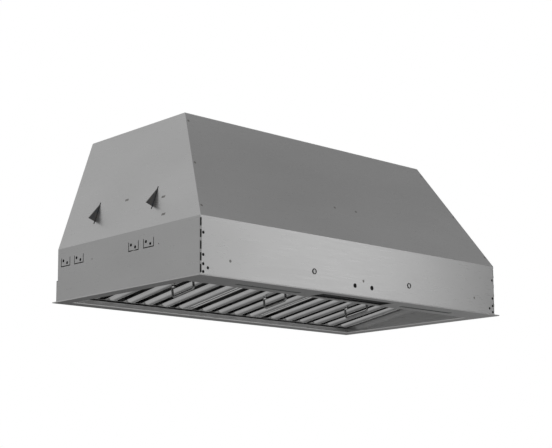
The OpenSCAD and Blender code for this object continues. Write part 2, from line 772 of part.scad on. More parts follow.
module control_panel() color("#1b1c1e") on_panel() {
    half = [panel_w / 2 + panel_rib, panel_d / 2 + panel_rib];
    inner = [panel_w / 2, panel_d / 2];
    difference() {
        union() {
            along_z(rim_t, panel_top) rectangle(-half, half);
            board_posts(post_r, panel_top, board_z);
        }
        along_z(rim_t - overrun, panel_z) rectangle(-inner, inner);
        for (x = button_xs) translate([x, 0, 0])
            rod_along_z(button_r + running_gap, panel_z - overrun, panel_top + overrun);
    }
}

switch_z = panel_top + button_collar_t + button_travel + seat_gap;
module control_board() color("#2f6b45") on_panel() {
    along_z(board_z, board_z + board_t) rectangle([-board_x, -board_y], [board_x, board_y]);
    for (x = button_xs) translate([x, 0, 0]) rod_along_z(button_r, switch_z + seat_gap, board_z);
    corner_shares = [0.6, -0.4];
    size_share = 0.8;
    corner = [corner_shares[0] * board_x, corner_shares[1] * board_y];
    along_z(board_z + board_t, board_z + 5 * board_t)
        rectangle(corner, corner + size_share * [board_y, board_y]);
}

module control_cover() color(galvanised) on_panel() {
    cable_hole_share = 0.7;
    half = [panel_w / 2 + panel_rib + seat_gap + sheet, panel_d / 2 + panel_rib + seat_gap + sheet];
    inner = half - [sheet, sheet];
    difference() {
        along_z(rim_t, rim_t + cover_h) rectangle(-half, half);
        along_z(rim_t - overrun, rim_t + cover_h - sheet) rectangle(-inner, inner);
        translate([cable_hole_share * half[0], 0, 0])
            rod_along_z(2 * post_r, cover_h - overrun, rim_t + cover_h + overrun);
    }
}

module button(i) color("#2b2c2f") on_panel() translate([button_xs[i], 0, 0]) {
    dish_share = 0.75;
    dish_depth = 4 * running_gap;
    difference() {
        union() {
            rod_along_z(button_r, button_z, panel_top + button_collar_t);
            rod_along_z(button_collar_r, panel_top + running_gap, panel_top + button_collar_t + running_gap);
        }
        rod_along_z(dish_share * button_r, button_z - overrun, button_z + dish_depth);
    }
    rod_along_z(button_r / 2, panel_top + button_collar_t, switch_z - button_travel + seat_gap);
}

// Lamps

module on_lamp() translate([lamp_mid, lamp_y, 0]) children();
module lamp_lens() color("#e4e6e4") on_lamp() {
    pad = [lamp_len / 2 - seat_gap, lamp_w / 2 - seat_gap];
    lap = [lamp_len / 2 + lens_lap, lamp_w / 2 + lens_lap];
    along_z(rim_t - seat_gap, rim_t) rectangle(-pad, pad);
    along_z(rim_t, rim_t + lens_t) rectangle(-lap, lap);
}

module lamp_housing() color(galvanised) on_lamp() {
    half = [lamp_len / 2 + lens_lap + seat_gap + sheet, lamp_w / 2 + lens_lap + seat_gap + sheet];
    inner = half - [sheet, sheet];
    brim = [half[0], half[1] + 2 * sheet];
    difference() {
        union() {
            along_z(rim_t, rim_t + lamp_h) rectangle(-half, half);
            along_z(rim_t, rim_t + sheet) rectangle(-brim, brim);
        }
        along_z(rim_t - overrun, rim_t + lamp_h - sheet) rectangle(-inner, inner);
        rod_along_z(button_r / 2, lamp_h - overrun, rim_t + lamp_h + overrun);
    }
}

module light_strip() on_lamp() {
    strip = [lamp_len / 2, lamp_w / 2];
    low = rim_t + lamp_h - sheet - board_t;
    along_z(low, low + board_t) rectangle(-strip, strip);
    for (i = [0:lamp_points - 1]) let (x = ((i + 0.5) / lamp_points - 0.5) * lamp_len)
        along_z(low - board_t / 2, low) translate([x, 0]) square(lamp_w / 3, center = true);
}
module light_strips() color("#e9e6da") both_sides() light_strip();

// Grease filters, drawn flat with the hinge line as origin and turned to their slope

module filter_place() translate([0, hinge_y, hinge_z]) rotate([-filter_tilt, 0, 0]) children();

module filter_frame(x0, width) color(stainless) filter_place() difference() {
    x1 = x0 + width;
    skin = filter_sheet;
    block([x0, -filter_reach, 0], [x1, filter_tail, filter_t]);
    block([x0 + skin, skin - filter_reach, skin], [x1 - skin, filter_tail - skin, filter_t - skin]);
    block([x0 + strip_w, strip_w - filter_reach, -overrun],
        [x1 - strip_w, filter_tail - rear_strip_w, filter_t + overrun]);
}

slat_angle = asin(slat_w / 2 / slat_r);
pivot_z = -slat_drop - bail_pivot;
loop_r = bail_r + running_gap + loop_wall;
function slat_x(x0, i) = x0 + strip_w + slat_gap + slat_w / 2 + i * slat_pitch;
function gap_x(x0, i) = x0 + strip_w + slat_gap / 2 + i * slat_pitch;

// Profile of a baffle's bulge, with its crest down
module bulge_profile() {
    wedge = 2 * slat_r;
    intersection() {
        ring(slat_r, slat_r - filter_sheet);
        polygon([
            [0, 0], wedge * [-sin(slat_angle), -cos(slat_angle)], wedge * [sin(slat_angle), -cos(slat_angle)]
        ]);
    }
}
// Pressed end of a baffle: half a dome, and the flat sheet round it
module baffle_end(y, turn, len) translate([0, y, 0]) rotate([0, 0, turn]) {
    translate([0, 0, slat_r - slat_drop]) rotate_extrude(angle = 180) intersection() {
        bulge_profile();
        rectangle([0, -2 * slat_r], [slat_r, 0]);
    }
    difference() {
        along_z(filter_sheet, 2 * filter_sheet) rectangle([-slat_w / 2, 0], [slat_w / 2, len]);
        rod_along_z(slat_w / 2 - filter_sheet / 2, 0, 3 * filter_sheet);
    }
}
// A trough that bulges down between its pressed ends, with an upright flange along each edge
module lower_baffle() {
    along_y(bulge_front - filter_reach, -bulge_rear) translate([0, slat_r - slat_drop]) bulge_profile();
    baffle_end(-bulge_rear, 0, bulge_rear + filter_tail - filter_sheet);
    baffle_end(bulge_front - filter_reach, 180, bulge_front - filter_sheet);
    both_sides() block(
        [slat_w / 2 - filter_sheet, filter_sheet - filter_reach, filter_sheet],
        [slat_w / 2, filter_tail - filter_sheet, filter_sheet + slat_flange]
    );
}

// Loops under a baffle that hold the handle's feet
module bail_loop() difference() {
    union() {
        rod_along_y(loop_r, -loop_len / 2, loop_len / 2);
        block([-loop_r, -loop_len / 2, 0], [loop_r, loop_len / 2, bail_pivot + filter_sheet / 2]);
    }
    rod_along_y(bail_r + running_gap, -loop_len, loop_len);
}
module bail_loops() for (side = [-1, 1])
    translate([0, -bail_place + side * bail_foot_y, pivot_z]) bail_loop();

module lower_baffles(x0, count) color(stainless) filter_place() {
    for (i = [0:count - 1]) translate([slat_x(x0, i), 0, 0]) lower_baffle();
    translate([slat_x(x0, bail_slat(count)), 0, 0]) bail_loops();
}

upper_half = slat_gap / 2 + upper_cover;
upper_angle = asin(upper_half / upper_r);
upper_crest = filter_t - filter_sheet - seat_gap;
// An arch over each gap, whose edge flanges reach down into the troughs
module upper_baffle() {
    wedge = 2 * upper_r;
    edge_z = upper_crest - upper_r * (1 - cos(upper_angle));
    along_y(filter_sheet - filter_reach, filter_tail - filter_sheet) {
        translate([0, upper_crest - upper_r]) intersection() {
            ring(upper_r, upper_r - filter_sheet);
            polygon([
                [0, 0], wedge * [-sin(upper_angle), cos(upper_angle)],
                wedge * [sin(upper_angle), cos(upper_angle)]
            ]);
        }
        for (side = [-1, 1]) translate([side * (upper_half - filter_sheet / 2), edge_z])
            rectangle([-filter_sheet / 2, -upper_flange], [filter_sheet / 2, 0]);
    }
}

module upper_baffles(x0, count) color(stainless) filter_place()
    for (i = [0:count - 1]) translate([gap_x(x0, i), 0, 0]) upper_baffle();

// Wire handle, hung from the baffle just left of the filter's middle
function bail_slat(count) = ceil(count / 2) - 1;
bail_depth = bail_drop - bail_pivot;
bail_foot_y = bail_span / 2 - bail_foot_bend - bail_foot / 2;

// A quarter bend of wire in the YZ plane, from +Y towards +Z, turned by the given angle
module wire_bend(y, z, r, turn) translate([0, y, z]) rotate([90, 0, 90]) rotate([0, 0, turn])
    rotate_extrude(angle = 90) translate([r, 0]) circle(bail_r);

module bail_half() {
    leg_y = bail_span / 2;
    foot_end = leg_y - bail_foot_bend;
    rod_along_y(bail_r, foot_end - bail_foot, foot_end);
    wire_bend(foot_end, -bail_foot_bend, bail_foot_bend, 0);
    translate([0, leg_y, 0]) rod_along_z(bail_r, bail_bend - bail_depth, -bail_foot_bend);
    wire_bend(leg_y - bail_bend, bail_bend - bail_depth, bail_bend, 270);
    translate([0, 0, -bail_depth]) rod_along_y(bail_r, 0, leg_y - bail_bend);
}

module bail(x0, count) color("#9a9da0") filter_place()
    translate([slat_x(x0, bail_slat(count)), -bail_place, pivot_z]) {
        bail_half();
        mirror([0, 1, 0]) bail_half();
    }

// Spring catches in the side walls

catch_heel_u = catch_pivot_up - catch_ramp;
catch_nose_w = sheet + seat_gap;
module catch_plate(y) on_slope(y) along_y(-catch_t / 2, catch_t / 2) difference() {
    union() {
        polygon([
            [0, catch_pivot_up], [catch_reach, catch_heel_u], [0, catch_heel_u],
            [-catch_nose_w, catch_heel_u], [-catch_nose_w, catch_heel_u - catch_nose],
            [-catch_tail_w, catch_heel_u - catch_nose], [-catch_pivot_w - catch_eye_r, catch_pivot_up],
            [-catch_pivot_w, catch_pivot_up + catch_eye_r]
        ]);
        translate([-catch_pivot_w, catch_pivot_up]) circle(catch_eye_r);
    }
    translate([-catch_pivot_w, catch_pivot_up]) circle(catch_pin_r + running_gap);
}

ear_near = catch_slot_w / 2 + seat_gap;
ear_far = catch_t / 2 + catch_spring_room;
ear_half = catch_eye_r;
// Two ears on the wall's inner face, each bent from a small foot
module catch_bracket(y) on_slope(y) difference() {
    top_w = -catch_pivot_w - catch_eye_r;
    union() for (ear = [[-ear_near, -1], [ear_far, 1]]) let (
        outer = ear[0] + ear[1] * catch_bracket_t,
        foot = outer + ear[1] * 2 * ear_half
    ) {
        block([top_w, min(ear[0], outer), catch_pivot_up - ear_half],
            [-sheet, max(ear[0], outer), catch_pivot_up + ear_half]);
        block([-sheet - catch_bracket_t, min(ear[0], foot), catch_pivot_up - ear_half],
            [-sheet, max(ear[0], foot), catch_pivot_up + ear_half]);
    }
    translate([-catch_pivot_w, 0, catch_pivot_up])
        rod_along_y(catch_pin_r + fixed_gap, -ear_near - catch_bracket_t - overrun,
            ear_far + catch_bracket_t + overrun);
}

module catch_pin(y) on_slope(y) translate([-catch_pivot_w, 0, catch_pivot_up])
    rod_along_y(catch_pin_r, -ear_near - 2 * catch_bracket_t, ear_far + 2 * catch_bracket_t);

// Coil round the pin: a tube with six sides swept along a helix
function coil_point(turn, r, pitch) = [r * cos(360 * turn), pitch * turn, r * sin(360 * turn)];
module coil(r, wire, turns, pitch, sides, steps) {
    rings = turns * steps;
    points = [for (i = [0:rings]) let (turn = i / steps, centre = coil_point(turn, r, pitch), a = 360 * turn)
        for (j = [0:sides - 1]) let (b = 360 * j / sides)
            centre + wire * (cos(b) * [cos(a), 0, sin(a)] + sin(b) * [0, 1, 0])];
    skin = [for (i = [0:rings - 1]) for (j = [0:sides - 1]) let (
        a = i * sides + j, b = i * sides + (j + 1) % sides, c = a + sides, d = b + sides
    ) each [[a, b, d], [a, d, c]]];
    start = [for (j = [1:sides - 2]) [0, j + 1, j]];
    last = rings * sides;
    end = [for (j = [1:sides - 2]) [last, last + j, last + j + 1]];
    polyhedron(points, concat(skin, start, end));
}

coil_sides = 6;
coil_rings = 12;
module catch_spring(y) on_slope(y) {
    room = ear_far - catch_t / 2 - 2 * seat_gap - 2 * catch_spring_wire;
    translate([-catch_pivot_w, catch_t / 2 + seat_gap + catch_spring_wire, catch_pivot_up])
        coil(catch_pin_r + catch_spring_wire + seat_gap, catch_spring_wire, catch_spring_turns,
            room / catch_spring_turns, coil_sides, coil_rings);
}

module all_catches() {
    for (y = [catch_front_y, catch_rear_y]) {
        $catch_y = y;
        children();
        mirrored() children();
    }
}
module catch_brackets() color(galvanised) all_catches() catch_bracket($catch_y);
module catch_pins() color("#9a9da0") all_catches() catch_pin($catch_y);
module catch_springs() color("#6f7375") all_catches() catch_spring($catch_y);

// Duct collar and backdraft damper

module on_duct() translate([0, duct_y, 0]) children();
stop_w = 5;
stop_angles = [35, 145, 215, 325];
module duct_collar() color(galvanised) on_duct() {
    stop_top = flap_z - seat_gap;
    difference() {
        union() {
            rod_along_z(duct_r, total_h, total_h + collar_up);
            rod_along_z(duct_r - collar_step, total_h - collar_down, total_h + sheet);
            rod_along_z(duct_r + collar_flange_w, total_h, total_h + sheet);
        }
        rod_along_z(duct_inner_r, total_h, total_h + collar_up + overrun);
        rod_along_z(duct_inner_r - collar_step, total_h - collar_down - overrun, total_h + overrun);
        translate([0, 0, rod_z]) rod_along_x(rod_r + fixed_gap, -duct_r - overrun, duct_r + overrun);
        translate([0, -duct_y, 0]) upright_holes(collar_screw_places, total_h - overrun, total_h + 2 * sheet);
    }
    for (a = stop_angles) rotate([0, 0, a]) intersection() {
        block([flap_r - stop_w, -stop_w, stop_top - sheet], [duct_r, stop_w, stop_top]);
        rod_along_z(duct_inner_r + sheet / 2, stop_top - 2 * sheet, stop_top + sheet);
    }
}

module damper_rod() color("#9a9da0") on_duct() translate([0, 0, rod_z]) {
    rod_along_x(rod_r, seat_gap - duct_r, duct_r - seat_gap);
}

// Half a disc that hangs on the rod by two knuckles
knuckle_place_share = 0.55;
module damper_flap(knuckle_x) {
    edge = knuckle_r + seat_gap;
    difference() {
        union() {
            along_z(flap_z, flap_z + flap_t) intersection() {
                circle(flap_r);
                union() {
                    rectangle([-flap_r, edge], [flap_r, flap_r]);
                    for (side = [-1, 1]) translate([side * knuckle_x, 0])
                        rectangle([-knuckle_len / 2, 0], [knuckle_len / 2, edge + overrun]);
                }
            }
            for (side = [-1, 1]) translate([side * knuckle_x, 0, rod_z])
                rod_along_x(knuckle_r, -knuckle_len / 2, knuckle_len / 2);
        }
        translate([0, 0, rod_z]) rod_along_x(rod_r + running_gap, -flap_r, flap_r);
    }
}
module rear_damper_flap() color("#a9adae") on_duct() damper_flap(knuckle_place_share * flap_r);
module front_damper_flap() color("#a9adae") on_duct() mirror([0, 1, 0])
    damper_flap(knuckle_place_share * flap_r - knuckle_len - 2 * seat_gap);

// Blower: a scroll round a double wheel, drawn round the wheel's axis and pushed along X

module on_wheel() translate([0, wheel_y, wheel_z]) children();
function scroll_r(a) = scroll_r0 + scroll_growth * (a - tongue_angle) / (360 - tongue_angle);
scroll_steps = 44;
function spiral(grow) = [for (i = [1:scroll_steps])
    let (a = tongue_angle + (360 - tongue_angle) * i / scroll_steps) (scroll_r(a) + grow) * [cos(a), sin(a)]];
tongue = scroll_r0 * [cos(tongue_angle), sin(tongue_angle)];
outer_tongue_y = tongue_y - scroll_t;
outer_tongue = [outer_tongue_y, sqrt(pow(scroll_r0 + scroll_t, 2) - pow(outer_tongue_y, 2))];
scroll_outer = concat(
    [[outer_tongue_y, wheel_under], outer_tongue], spiral(scroll_t), [[outlet_y + scroll_t, wheel_under]]
);
scroll_inner = concat([[tongue_y, wheel_under], tongue], spiral(0), [[outlet_y, wheel_under]]);

module blower_scroll() color(galvanised) on_wheel() {
    along_x(-cheek_x, cheek_x) band(scroll_outer, scroll_inner);
    // Flange round the outlet, fixed under the discharge box
    difference() {
        block([-cheek_x, outer_tongue_y - outlet_flange_w, wheel_under - scroll_t],
            [cheek_x, outlet_y + scroll_t + outlet_flange_w, wheel_under]);
        block([-cheek_x - overrun, tongue_y - scroll_t / 2, wheel_under - 2 * scroll_t],
            [cheek_x + overrun, outlet_y + scroll_t / 2, wheel_under + overrun]);
    }
}

// A flat side of the scroll with a rounded inlet that curves in towards the wheel
module cheek() on_wheel() {
    mouth_r = inlet_r + bell_r;
    difference() {
        along_x(cheek_x, cheek_x + scroll_t) polygon(scroll_outer);
        rod_along_x(mouth_r, cheek_x - overrun, cheek_x + scroll_t + overrun);
    }
    translate([cheek_x + scroll_t - bell_r, 0, 0]) rotate([0, 90, 0]) rotate_extrude()
        translate([mouth_r, 0]) {
            intersection() {
                ring(bell_r, bell_r - scroll_t);
                rectangle([-bell_r - overrun, 0], [0, bell_r + overrun]);
            }
            rectangle([-scroll_t / 2, bell_r - scroll_t], [scroll_t, bell_r]);
        }
}
module right_cheek() color(galvanised) cheek();
module left_cheek() color(galvanised) mirrored() cheek();

// Centre and radius of a blade's curve, and its angles, as shares of the wheel's radius
blade_centre_share = [0.853, 0.153];
blade_radius_share = 0.16;
blade_angles = [-96, -28];
blade_steps = 5;
module blade_outline() {
    centre = wheel_r * blade_centre_share;
    r = wheel_r * blade_radius_share;
    band(
        arc(centre, r, blade_angles[0], blade_angles[1], blade_steps),
        arc(centre, r - blade_t, blade_angles[0], blade_angles[1], blade_steps)
    );
}

module blower_wheel() color("#8b9094") on_wheel() {
    ring_w = 5;
    ring_t = 2;
    difference() {
        union() {
            along_x(-wheel_w / 2 + ring_t / 2, wheel_w / 2 - ring_t / 2)
                for (i = [0:blade_count - 1]) rotate(i * 360 / blade_count) blade_outline();
            for (x = [-wheel_w / 2, wheel_w / 2 - ring_t])
                along_x(x, x + ring_t) ring(wheel_r, wheel_r - 2 * ring_w);
            rod_along_x(wheel_r - ring_w, -ring_t / 2, ring_t / 2);
            rod_along_x(hub_r, -hub_len / 2, hub_len / 2);
        }
        rod_along_x(shaft_r + fixed_gap, -hub_len, hub_len);
    }
}

// How far the shaft reaches into the motor and past the hub
shaft_shares = [0.6, 0.8];
shaft_end = motor_x + shaft_shares[0] * motor_len;
module motor_shaft() color("#9a9da0") on_wheel()
    rod_along_x(shaft_r, -shaft_shares[1] * hub_len, shaft_end);

module motor_body() color("#3a3d40") on_wheel() {
    nose = motor_stand / 2;
    edge = motor_r / 8;
    translate([motor_x, 0, 0]) rotate([0, 90, 0]) difference() {
        rotate_extrude() polygon([
            [0, -nose], [2 * hub_r, -nose], [2 * hub_r, 0], [motor_r - edge, 0], [motor_r, edge],
            [motor_r, motor_len - edge], [motor_r - edge, motor_len], [hub_r, motor_len],
            [hub_r, motor_len + nose], [0, motor_len + nose]
        ]);
        rod_along_z(shaft_r + running_gap, -motor_stand, shaft_end - motor_x + seat_gap);
    }
}

// A ring round the motor's nose with three arms to the cheek
module motor_bracket() color(galvanised) on_wheel() {
    face = cheek_x + scroll_t;
    reach = inlet_r + bell_r;
    foot_len = arm_w;
    arm_angles = [90, 210, 330];
    difference() {
        union() {
            along_x(motor_x - arm_t, motor_x) union() {
                circle(2 * hub_r + arm_w);
                for (a = arm_angles) rotate(a) rectangle([0, -arm_w / 2], [reach + arm_t, arm_w / 2]);
            }
            for (a = arm_angles) rotate([a, 0, 0]) {
                block([face, reach, -arm_w / 2], [motor_x, reach + arm_t, arm_w / 2]);
                block([face, reach, -arm_w / 2], [face + arm_t, reach + foot_len, arm_w / 2]);
            }
        }
        rod_along_x(2 * hub_r + fixed_gap, face - overrun, motor_x + overrun);
    }
}

// Box that leads from the scroll's outlet to the round collar, open under the roof
module discharge_box() color(galvanised) on_duct() {
    half = max(duct_r, cheek_x + outlet_flange_w) + box_room;
    rear = back_y - duct_y - 2 * sheet - seat_gap;
    depth = min(half, rear);
    port = [[-cheek_x, wheel_y - duct_y + tongue_y], [cheek_x, wheel_y - duct_y + outlet_y]];
    difference() {
        union() {
            along_z(box_z, wall_top) rectangle([-half, -depth], [half, depth]);
            along_z(wall_top - sheet, wall_top)
                rectangle([-half - outlet_flange_w, -depth], [half + outlet_flange_w, depth]);
        }
        along_z(box_z + sheet, wall_top + overrun)
            rectangle([sheet - half, sheet - depth], [half - sheet, depth - sheet]);
        along_z(box_z - overrun, box_z + 2 * sheet) rectangle(port[0], port[1]);
    }
}

// Wiring box under the roof, closed by a cover from below

module on_wiring() translate([wiring_x, wiring_y, 0]) children();
wiring_half = [wiring_size[0] / 2, wiring_size[1] / 2];
module wiring_box() color(galvanised) on_wiring() difference() {
    skin = [sheet, sheet];
    along_z(wiring_z, wall_top) rectangle(-wiring_half, wiring_half);
    along_z(wiring_z - overrun, wall_top - sheet) rectangle(skin - wiring_half, wiring_half - skin);
    rod_along_z(conduit_r, wall_top - 2 * sheet, wall_top + overrun);
}

module wiring_cover() color(galvanised) on_wiring() {
    grow = [seat_gap + sheet, seat_gap + sheet];
    lip = 4 * sheet;
    difference() {
        along_z(wiring_z - sheet, wiring_z + lip) rectangle(-wiring_half - grow, wiring_half + grow);
        along_z(wiring_z, wiring_z + lip + overrun)
            rectangle(-wiring_half - [seat_gap, seat_gap], wiring_half + [seat_gap, seat_gap]);
    }
}

// Fasteners

// A pan-head screw that points down, with its seat at z = 0
screw_crown_share = 0.7;
module case_screw() rotate_extrude() polygon([
    [0, -screw_len], [screw_r / 2, -screw_len], [screw_r, screw_r - screw_len], [screw_r, 0],
    [screw_head_r, 0], [screw_head_r, screw_head_h / 2],
    [screw_crown_share * screw_head_r, screw_head_h], [0, screw_head_h]
]);

module case_screws() color("#9a9da0") {
    for (p = roof_screw_places) translate([p[0], p[1], total_h]) case_screw();
    for (p = collar_screw_places) translate([p[0], p[1], total_h + sheet]) case_screw();
    for (p = back_screw_places) translate([p[0], back_y, p[1]]) rotate([-90, 0, 0]) case_screw();
}

// A flush rivet with a raised ring round a low dome
module ringed_rivet() {
    outer = rivet_d / 2;
    ring_share = 0.76;
    dome_share = 0.58;
    edge_share = 0.95;
    height_share = 0.07;
    height = height_share * rivet_d;
    rotate_extrude() polygon([
        [0, -2 * sheet - height], [2 * screw_r, -2 * sheet - height], [2 * screw_r, -2 * sheet],
        [screw_r, -2 * sheet], [screw_r, 0], [outer, 0], [outer, height / 2], [edge_share * outer, height],
        [ring_share * outer, height], [ring_share * outer, height / 3], [dome_share * outer, height / 3],
        [dome_share * outer, height], [dome_share * outer / 2, 1.3 * height], [0, 1.4 * height]
    ]);
}
module front_rivets() color("#c3c4c2") both_sides()
    translate([rivet_x, -body_d / 2, rivet_z]) rotate([90, 0, 0]) ringed_rivet();

front_panel();
mirrored() side_panel();  // left_side_panel
side_panel();  // right_side_panel
back_panel();
roof_panel();
rear_rail();
rim_frame();
mirrored() side_liner();  // left_liner
side_liner();  // right_liner
rear_liner();
front_liner();
filter_springs();
control_panel();
control_board();
control_cover();
button(0);  // button_1
button(1);  // button_2
button(2);  // button_3
button(3);  // button_4
mirrored() lamp_lens();  // left_lamp_lens
lamp_lens();  // right_lamp_lens
light_strips();
mirrored() lamp_housing();  // left_lamp_housing
lamp_housing();  // right_lamp_housing
filter_frame(left_filter_x, side_filter_w);  // left_filter_frame
filter_frame(centre_filter_x, centre_filter_w);  // centre_filter_frame
filter_frame(right_filter_x, side_filter_w);  // right_filter_frame
lower_baffles(left_filter_x, side_slats);  // left_lower_baffles
lower_baffles(centre_filter_x, centre_slats);  // centre_lower_baffles
lower_baffles(right_filter_x, side_slats);  // right_lower_baffles
upper_baffles(left_filter_x, side_slats);  // left_upper_baffles
upper_baffles(centre_filter_x, centre_slats);  // centre_upper_baffles
upper_baffles(right_filter_x, side_slats);  // right_upper_baffles
bail(left_filter_x, side_slats);  // left_bail
bail(centre_filter_x, centre_slats);  // centre_bail
bail(right_filter_x, side_slats);  // right_bail
color("#5d6063") mirrored() catch_plate(catch_front_y);  // catch_left_front
color("#5d6063") mirrored() catch_plate(catch_rear_y);  // catch_left_rear
color("#5d6063") catch_plate(catch_front_y);  // catch_right_front
color("#5d6063") catch_plate(catch_rear_y);  // catch_right_rear
catch_brackets();
catch_pins();
catch_springs();
duct_collar();
damper_rod();
front_damper_flap();
rear_damper_flap();
blower_scroll();
left_cheek();
right_cheek();
blower_wheel();
motor_shaft();
motor_body();
motor_bracket();
discharge_box();
wiring_box();
wiring_cover();
front_rivets();
case_screws();
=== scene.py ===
"""Range hood insert in brushed stainless steel, dressed for its photograph.

The pieces and the patterns on them are measured in millimetres, and mm() turns those to metres. The
camera and the studio are in metres.
"""
import math

import bmesh
import bpy
import numpy as np
from mathutils import Matrix, Vector


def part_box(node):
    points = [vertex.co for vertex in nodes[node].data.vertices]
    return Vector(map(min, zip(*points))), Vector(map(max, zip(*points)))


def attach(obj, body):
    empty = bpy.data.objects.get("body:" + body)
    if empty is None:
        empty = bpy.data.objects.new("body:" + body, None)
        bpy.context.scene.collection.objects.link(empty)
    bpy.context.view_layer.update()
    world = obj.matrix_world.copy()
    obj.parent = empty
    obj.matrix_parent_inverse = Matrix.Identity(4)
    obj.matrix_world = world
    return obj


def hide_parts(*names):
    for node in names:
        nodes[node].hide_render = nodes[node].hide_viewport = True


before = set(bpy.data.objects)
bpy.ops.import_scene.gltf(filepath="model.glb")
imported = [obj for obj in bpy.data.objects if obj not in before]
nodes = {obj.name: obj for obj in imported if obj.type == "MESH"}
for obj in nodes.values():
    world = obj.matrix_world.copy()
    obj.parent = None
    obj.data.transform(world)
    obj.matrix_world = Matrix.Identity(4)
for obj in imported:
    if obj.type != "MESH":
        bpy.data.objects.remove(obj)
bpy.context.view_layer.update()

SIDES = {"left": -1, "right": 1}
FILTERS = ("left", "centre", "right")


def mm(value):
    """Millimetres to metres, for a number, a list or an array."""
    return np.asarray(value, float) * 0.001


# Camera: fitted to the body's corners and edges and the rim's tips in the photograph

PHOTO_W = 552
FOCAL_PX = 1299.418
CENTRE_OFFSET_PX = (9.361, 85.931)
SENSOR_W = 36
AZIMUTH, ELEVATION, ROLL = (math.radians(v) for v in (-43.085, -7.8493, -0.3443))
CAMERA_DISTANCE = 2.8664


def set_camera():
    """Stands the camera at the fitted angles: back is the unit vector from the object to the camera."""
    back = Vector((
        math.sin(AZIMUTH) * math.cos(ELEVATION),
        -math.cos(AZIMUTH) * math.cos(ELEVATION),
        math.sin(ELEVATION),
    ))
    level = (-back).cross(Vector((0, 0, 1))).normalized()
    upright = level.cross(-back)
    right = math.cos(ROLL) * level + math.sin(ROLL) * upright
    up = -math.sin(ROLL) * level + math.cos(ROLL) * upright
    data = bpy.data.cameras.new("photo_camera")
    data.sensor_width = SENSOR_W
    data.lens = FOCAL_PX * SENSOR_W / PHOTO_W
    data.shift_x = -CENTRE_OFFSET_PX[0] / PHOTO_W
    data.shift_y = CENTRE_OFFSET_PX[1] / PHOTO_W
    data.clip_start = 0.05
    camera = bpy.data.objects.new("photo_camera", data)
    turn = Matrix((right, up, back)).transposed().to_4x4()
    camera.matrix_world = Matrix.Translation(back * CAMERA_DISTANCE) @ turn
    bpy.context.scene.collection.objects.link(camera)
    bpy.context.scene.camera = camera


set_camera()
bpy.context.scene.view_settings.view_transform = "Standard"


# Materials

EVEN = (1, 1, 1)  # a pattern that isn't drawn out
NOISE_SPREAD = {"From Min": 0.3, "From Max": 0.7}  # nearly all of a noise's values lie in between
SHARE, TONE_A, TONE_B, MIXED = 0, 6, 7, 2  # a colour mix node's sockets, the last one its output


def linear(code):
    """An sRGB hex colour as linear RGBA."""
    values = [int(code[i:i + 2], 16) / 255 for i in (1, 3, 5)]
    return [v / 12.92 if v <= 0.04045 else ((v + 0.055) / 1.055) ** 2.4 for v in values] + [1.0]


WHITE = linear("#ffffff")


def waves(width):
    """A pattern's scale for features of this width in mm: how many go into a metre."""
    return 1000 / width


def empty_tree(holder):
    """The node tree of a material or a world, emptied."""
    holder.use_nodes = True
    holder.node_tree.nodes.clear()
    return holder.node_tree


def add(tree, kind, sockets=None, **settings):
    """Adds a node. settings are its properties; sockets gives inputs a value or another node's output."""
    made = tree.nodes.new(kind)
    for name, value in settings.items():
        setattr(made, name, value)
    for key, value in (sockets or {}).items():
        if isinstance(value, bpy.types.NodeSocket):
            tree.links.new(value, made.inputs[key])
        else:
            made.inputs[key].default_value = value
    return made


def finish(name, tones, blotch, grain, rough, depth, **sockets):
    """A material on one Principled shader. Its colour drifts between two tones in blotches, and a finer
    grain carries its roughness over the range rough and raises it by depth mm. blotch and grain are each
    (width in mm, detail, how far the pattern is drawn out along x, y and z). Real scratches, die lines and
    mould grain are often under 0.2 mm, which the picture would lose, so they are drawn about 1 mm apart."""
    made = bpy.data.materials.new(name)
    tree = empty_tree(made)
    place = add(tree, "ShaderNodeTexCoord").outputs["Object"]
    patterns = []
    for width, detail, drawn in (blotch, grain):
        stretched = add(tree, "ShaderNodeMapping", {"Vector": place, "Scale": [1 / d for d in drawn]})
        patterns.append(add(tree, "ShaderNodeTexNoise", {
            "Vector": stretched.outputs[0], "Scale": waves(width), "Detail": detail, "Roughness": 0.6,
        }).outputs["Fac"])
    blotches, grains = patterns
    share = add(tree, "ShaderNodeMapRange", {"Value": blotches, **NOISE_SPREAD})
    colour = add(tree, "ShaderNodeMix", {
        SHARE: share.outputs[0], TONE_A: linear(tones[0]), TONE_B: linear(tones[1])}, data_type="RGBA")
    gloss = add(tree, "ShaderNodeMapRange", {
        "Value": grains, **NOISE_SPREAD, "To Min": rough[0], "To Max": rough[1]})
    raised = add(tree, "ShaderNodeBump", {"Height": grains, "Distance": mm(depth), "Strength": 1.0})
    shader = add(tree, "ShaderNodeBsdfPrincipled", {
        "Base Color": colour.outputs[MIXED], "Roughness": gloss.outputs[0], "Normal": raised.outputs[0],
        **{key.replace("_", " "): value for key, value in sockets.items()}})
    add(tree, "ShaderNodeOutputMaterial", {"Surface": shader.outputs[0]})
    return made


def brushed_stainless(name, along, cloud_along):
    """304 stainless, No. 4 brushed. The belt leaves fine straight scratches along one axis, so
    highlights smear across them. Real scratches are 0.1 mm apart; they are drawn 1.2 mm apart."""
    return finish(name, ("#ababab", "#b3b3b3"), blotch=(190, 2, cloud_along), grain=(1.2, 3, along),
                  rough=(0.27, 0.32), depth=0.003, Metallic=1.0)


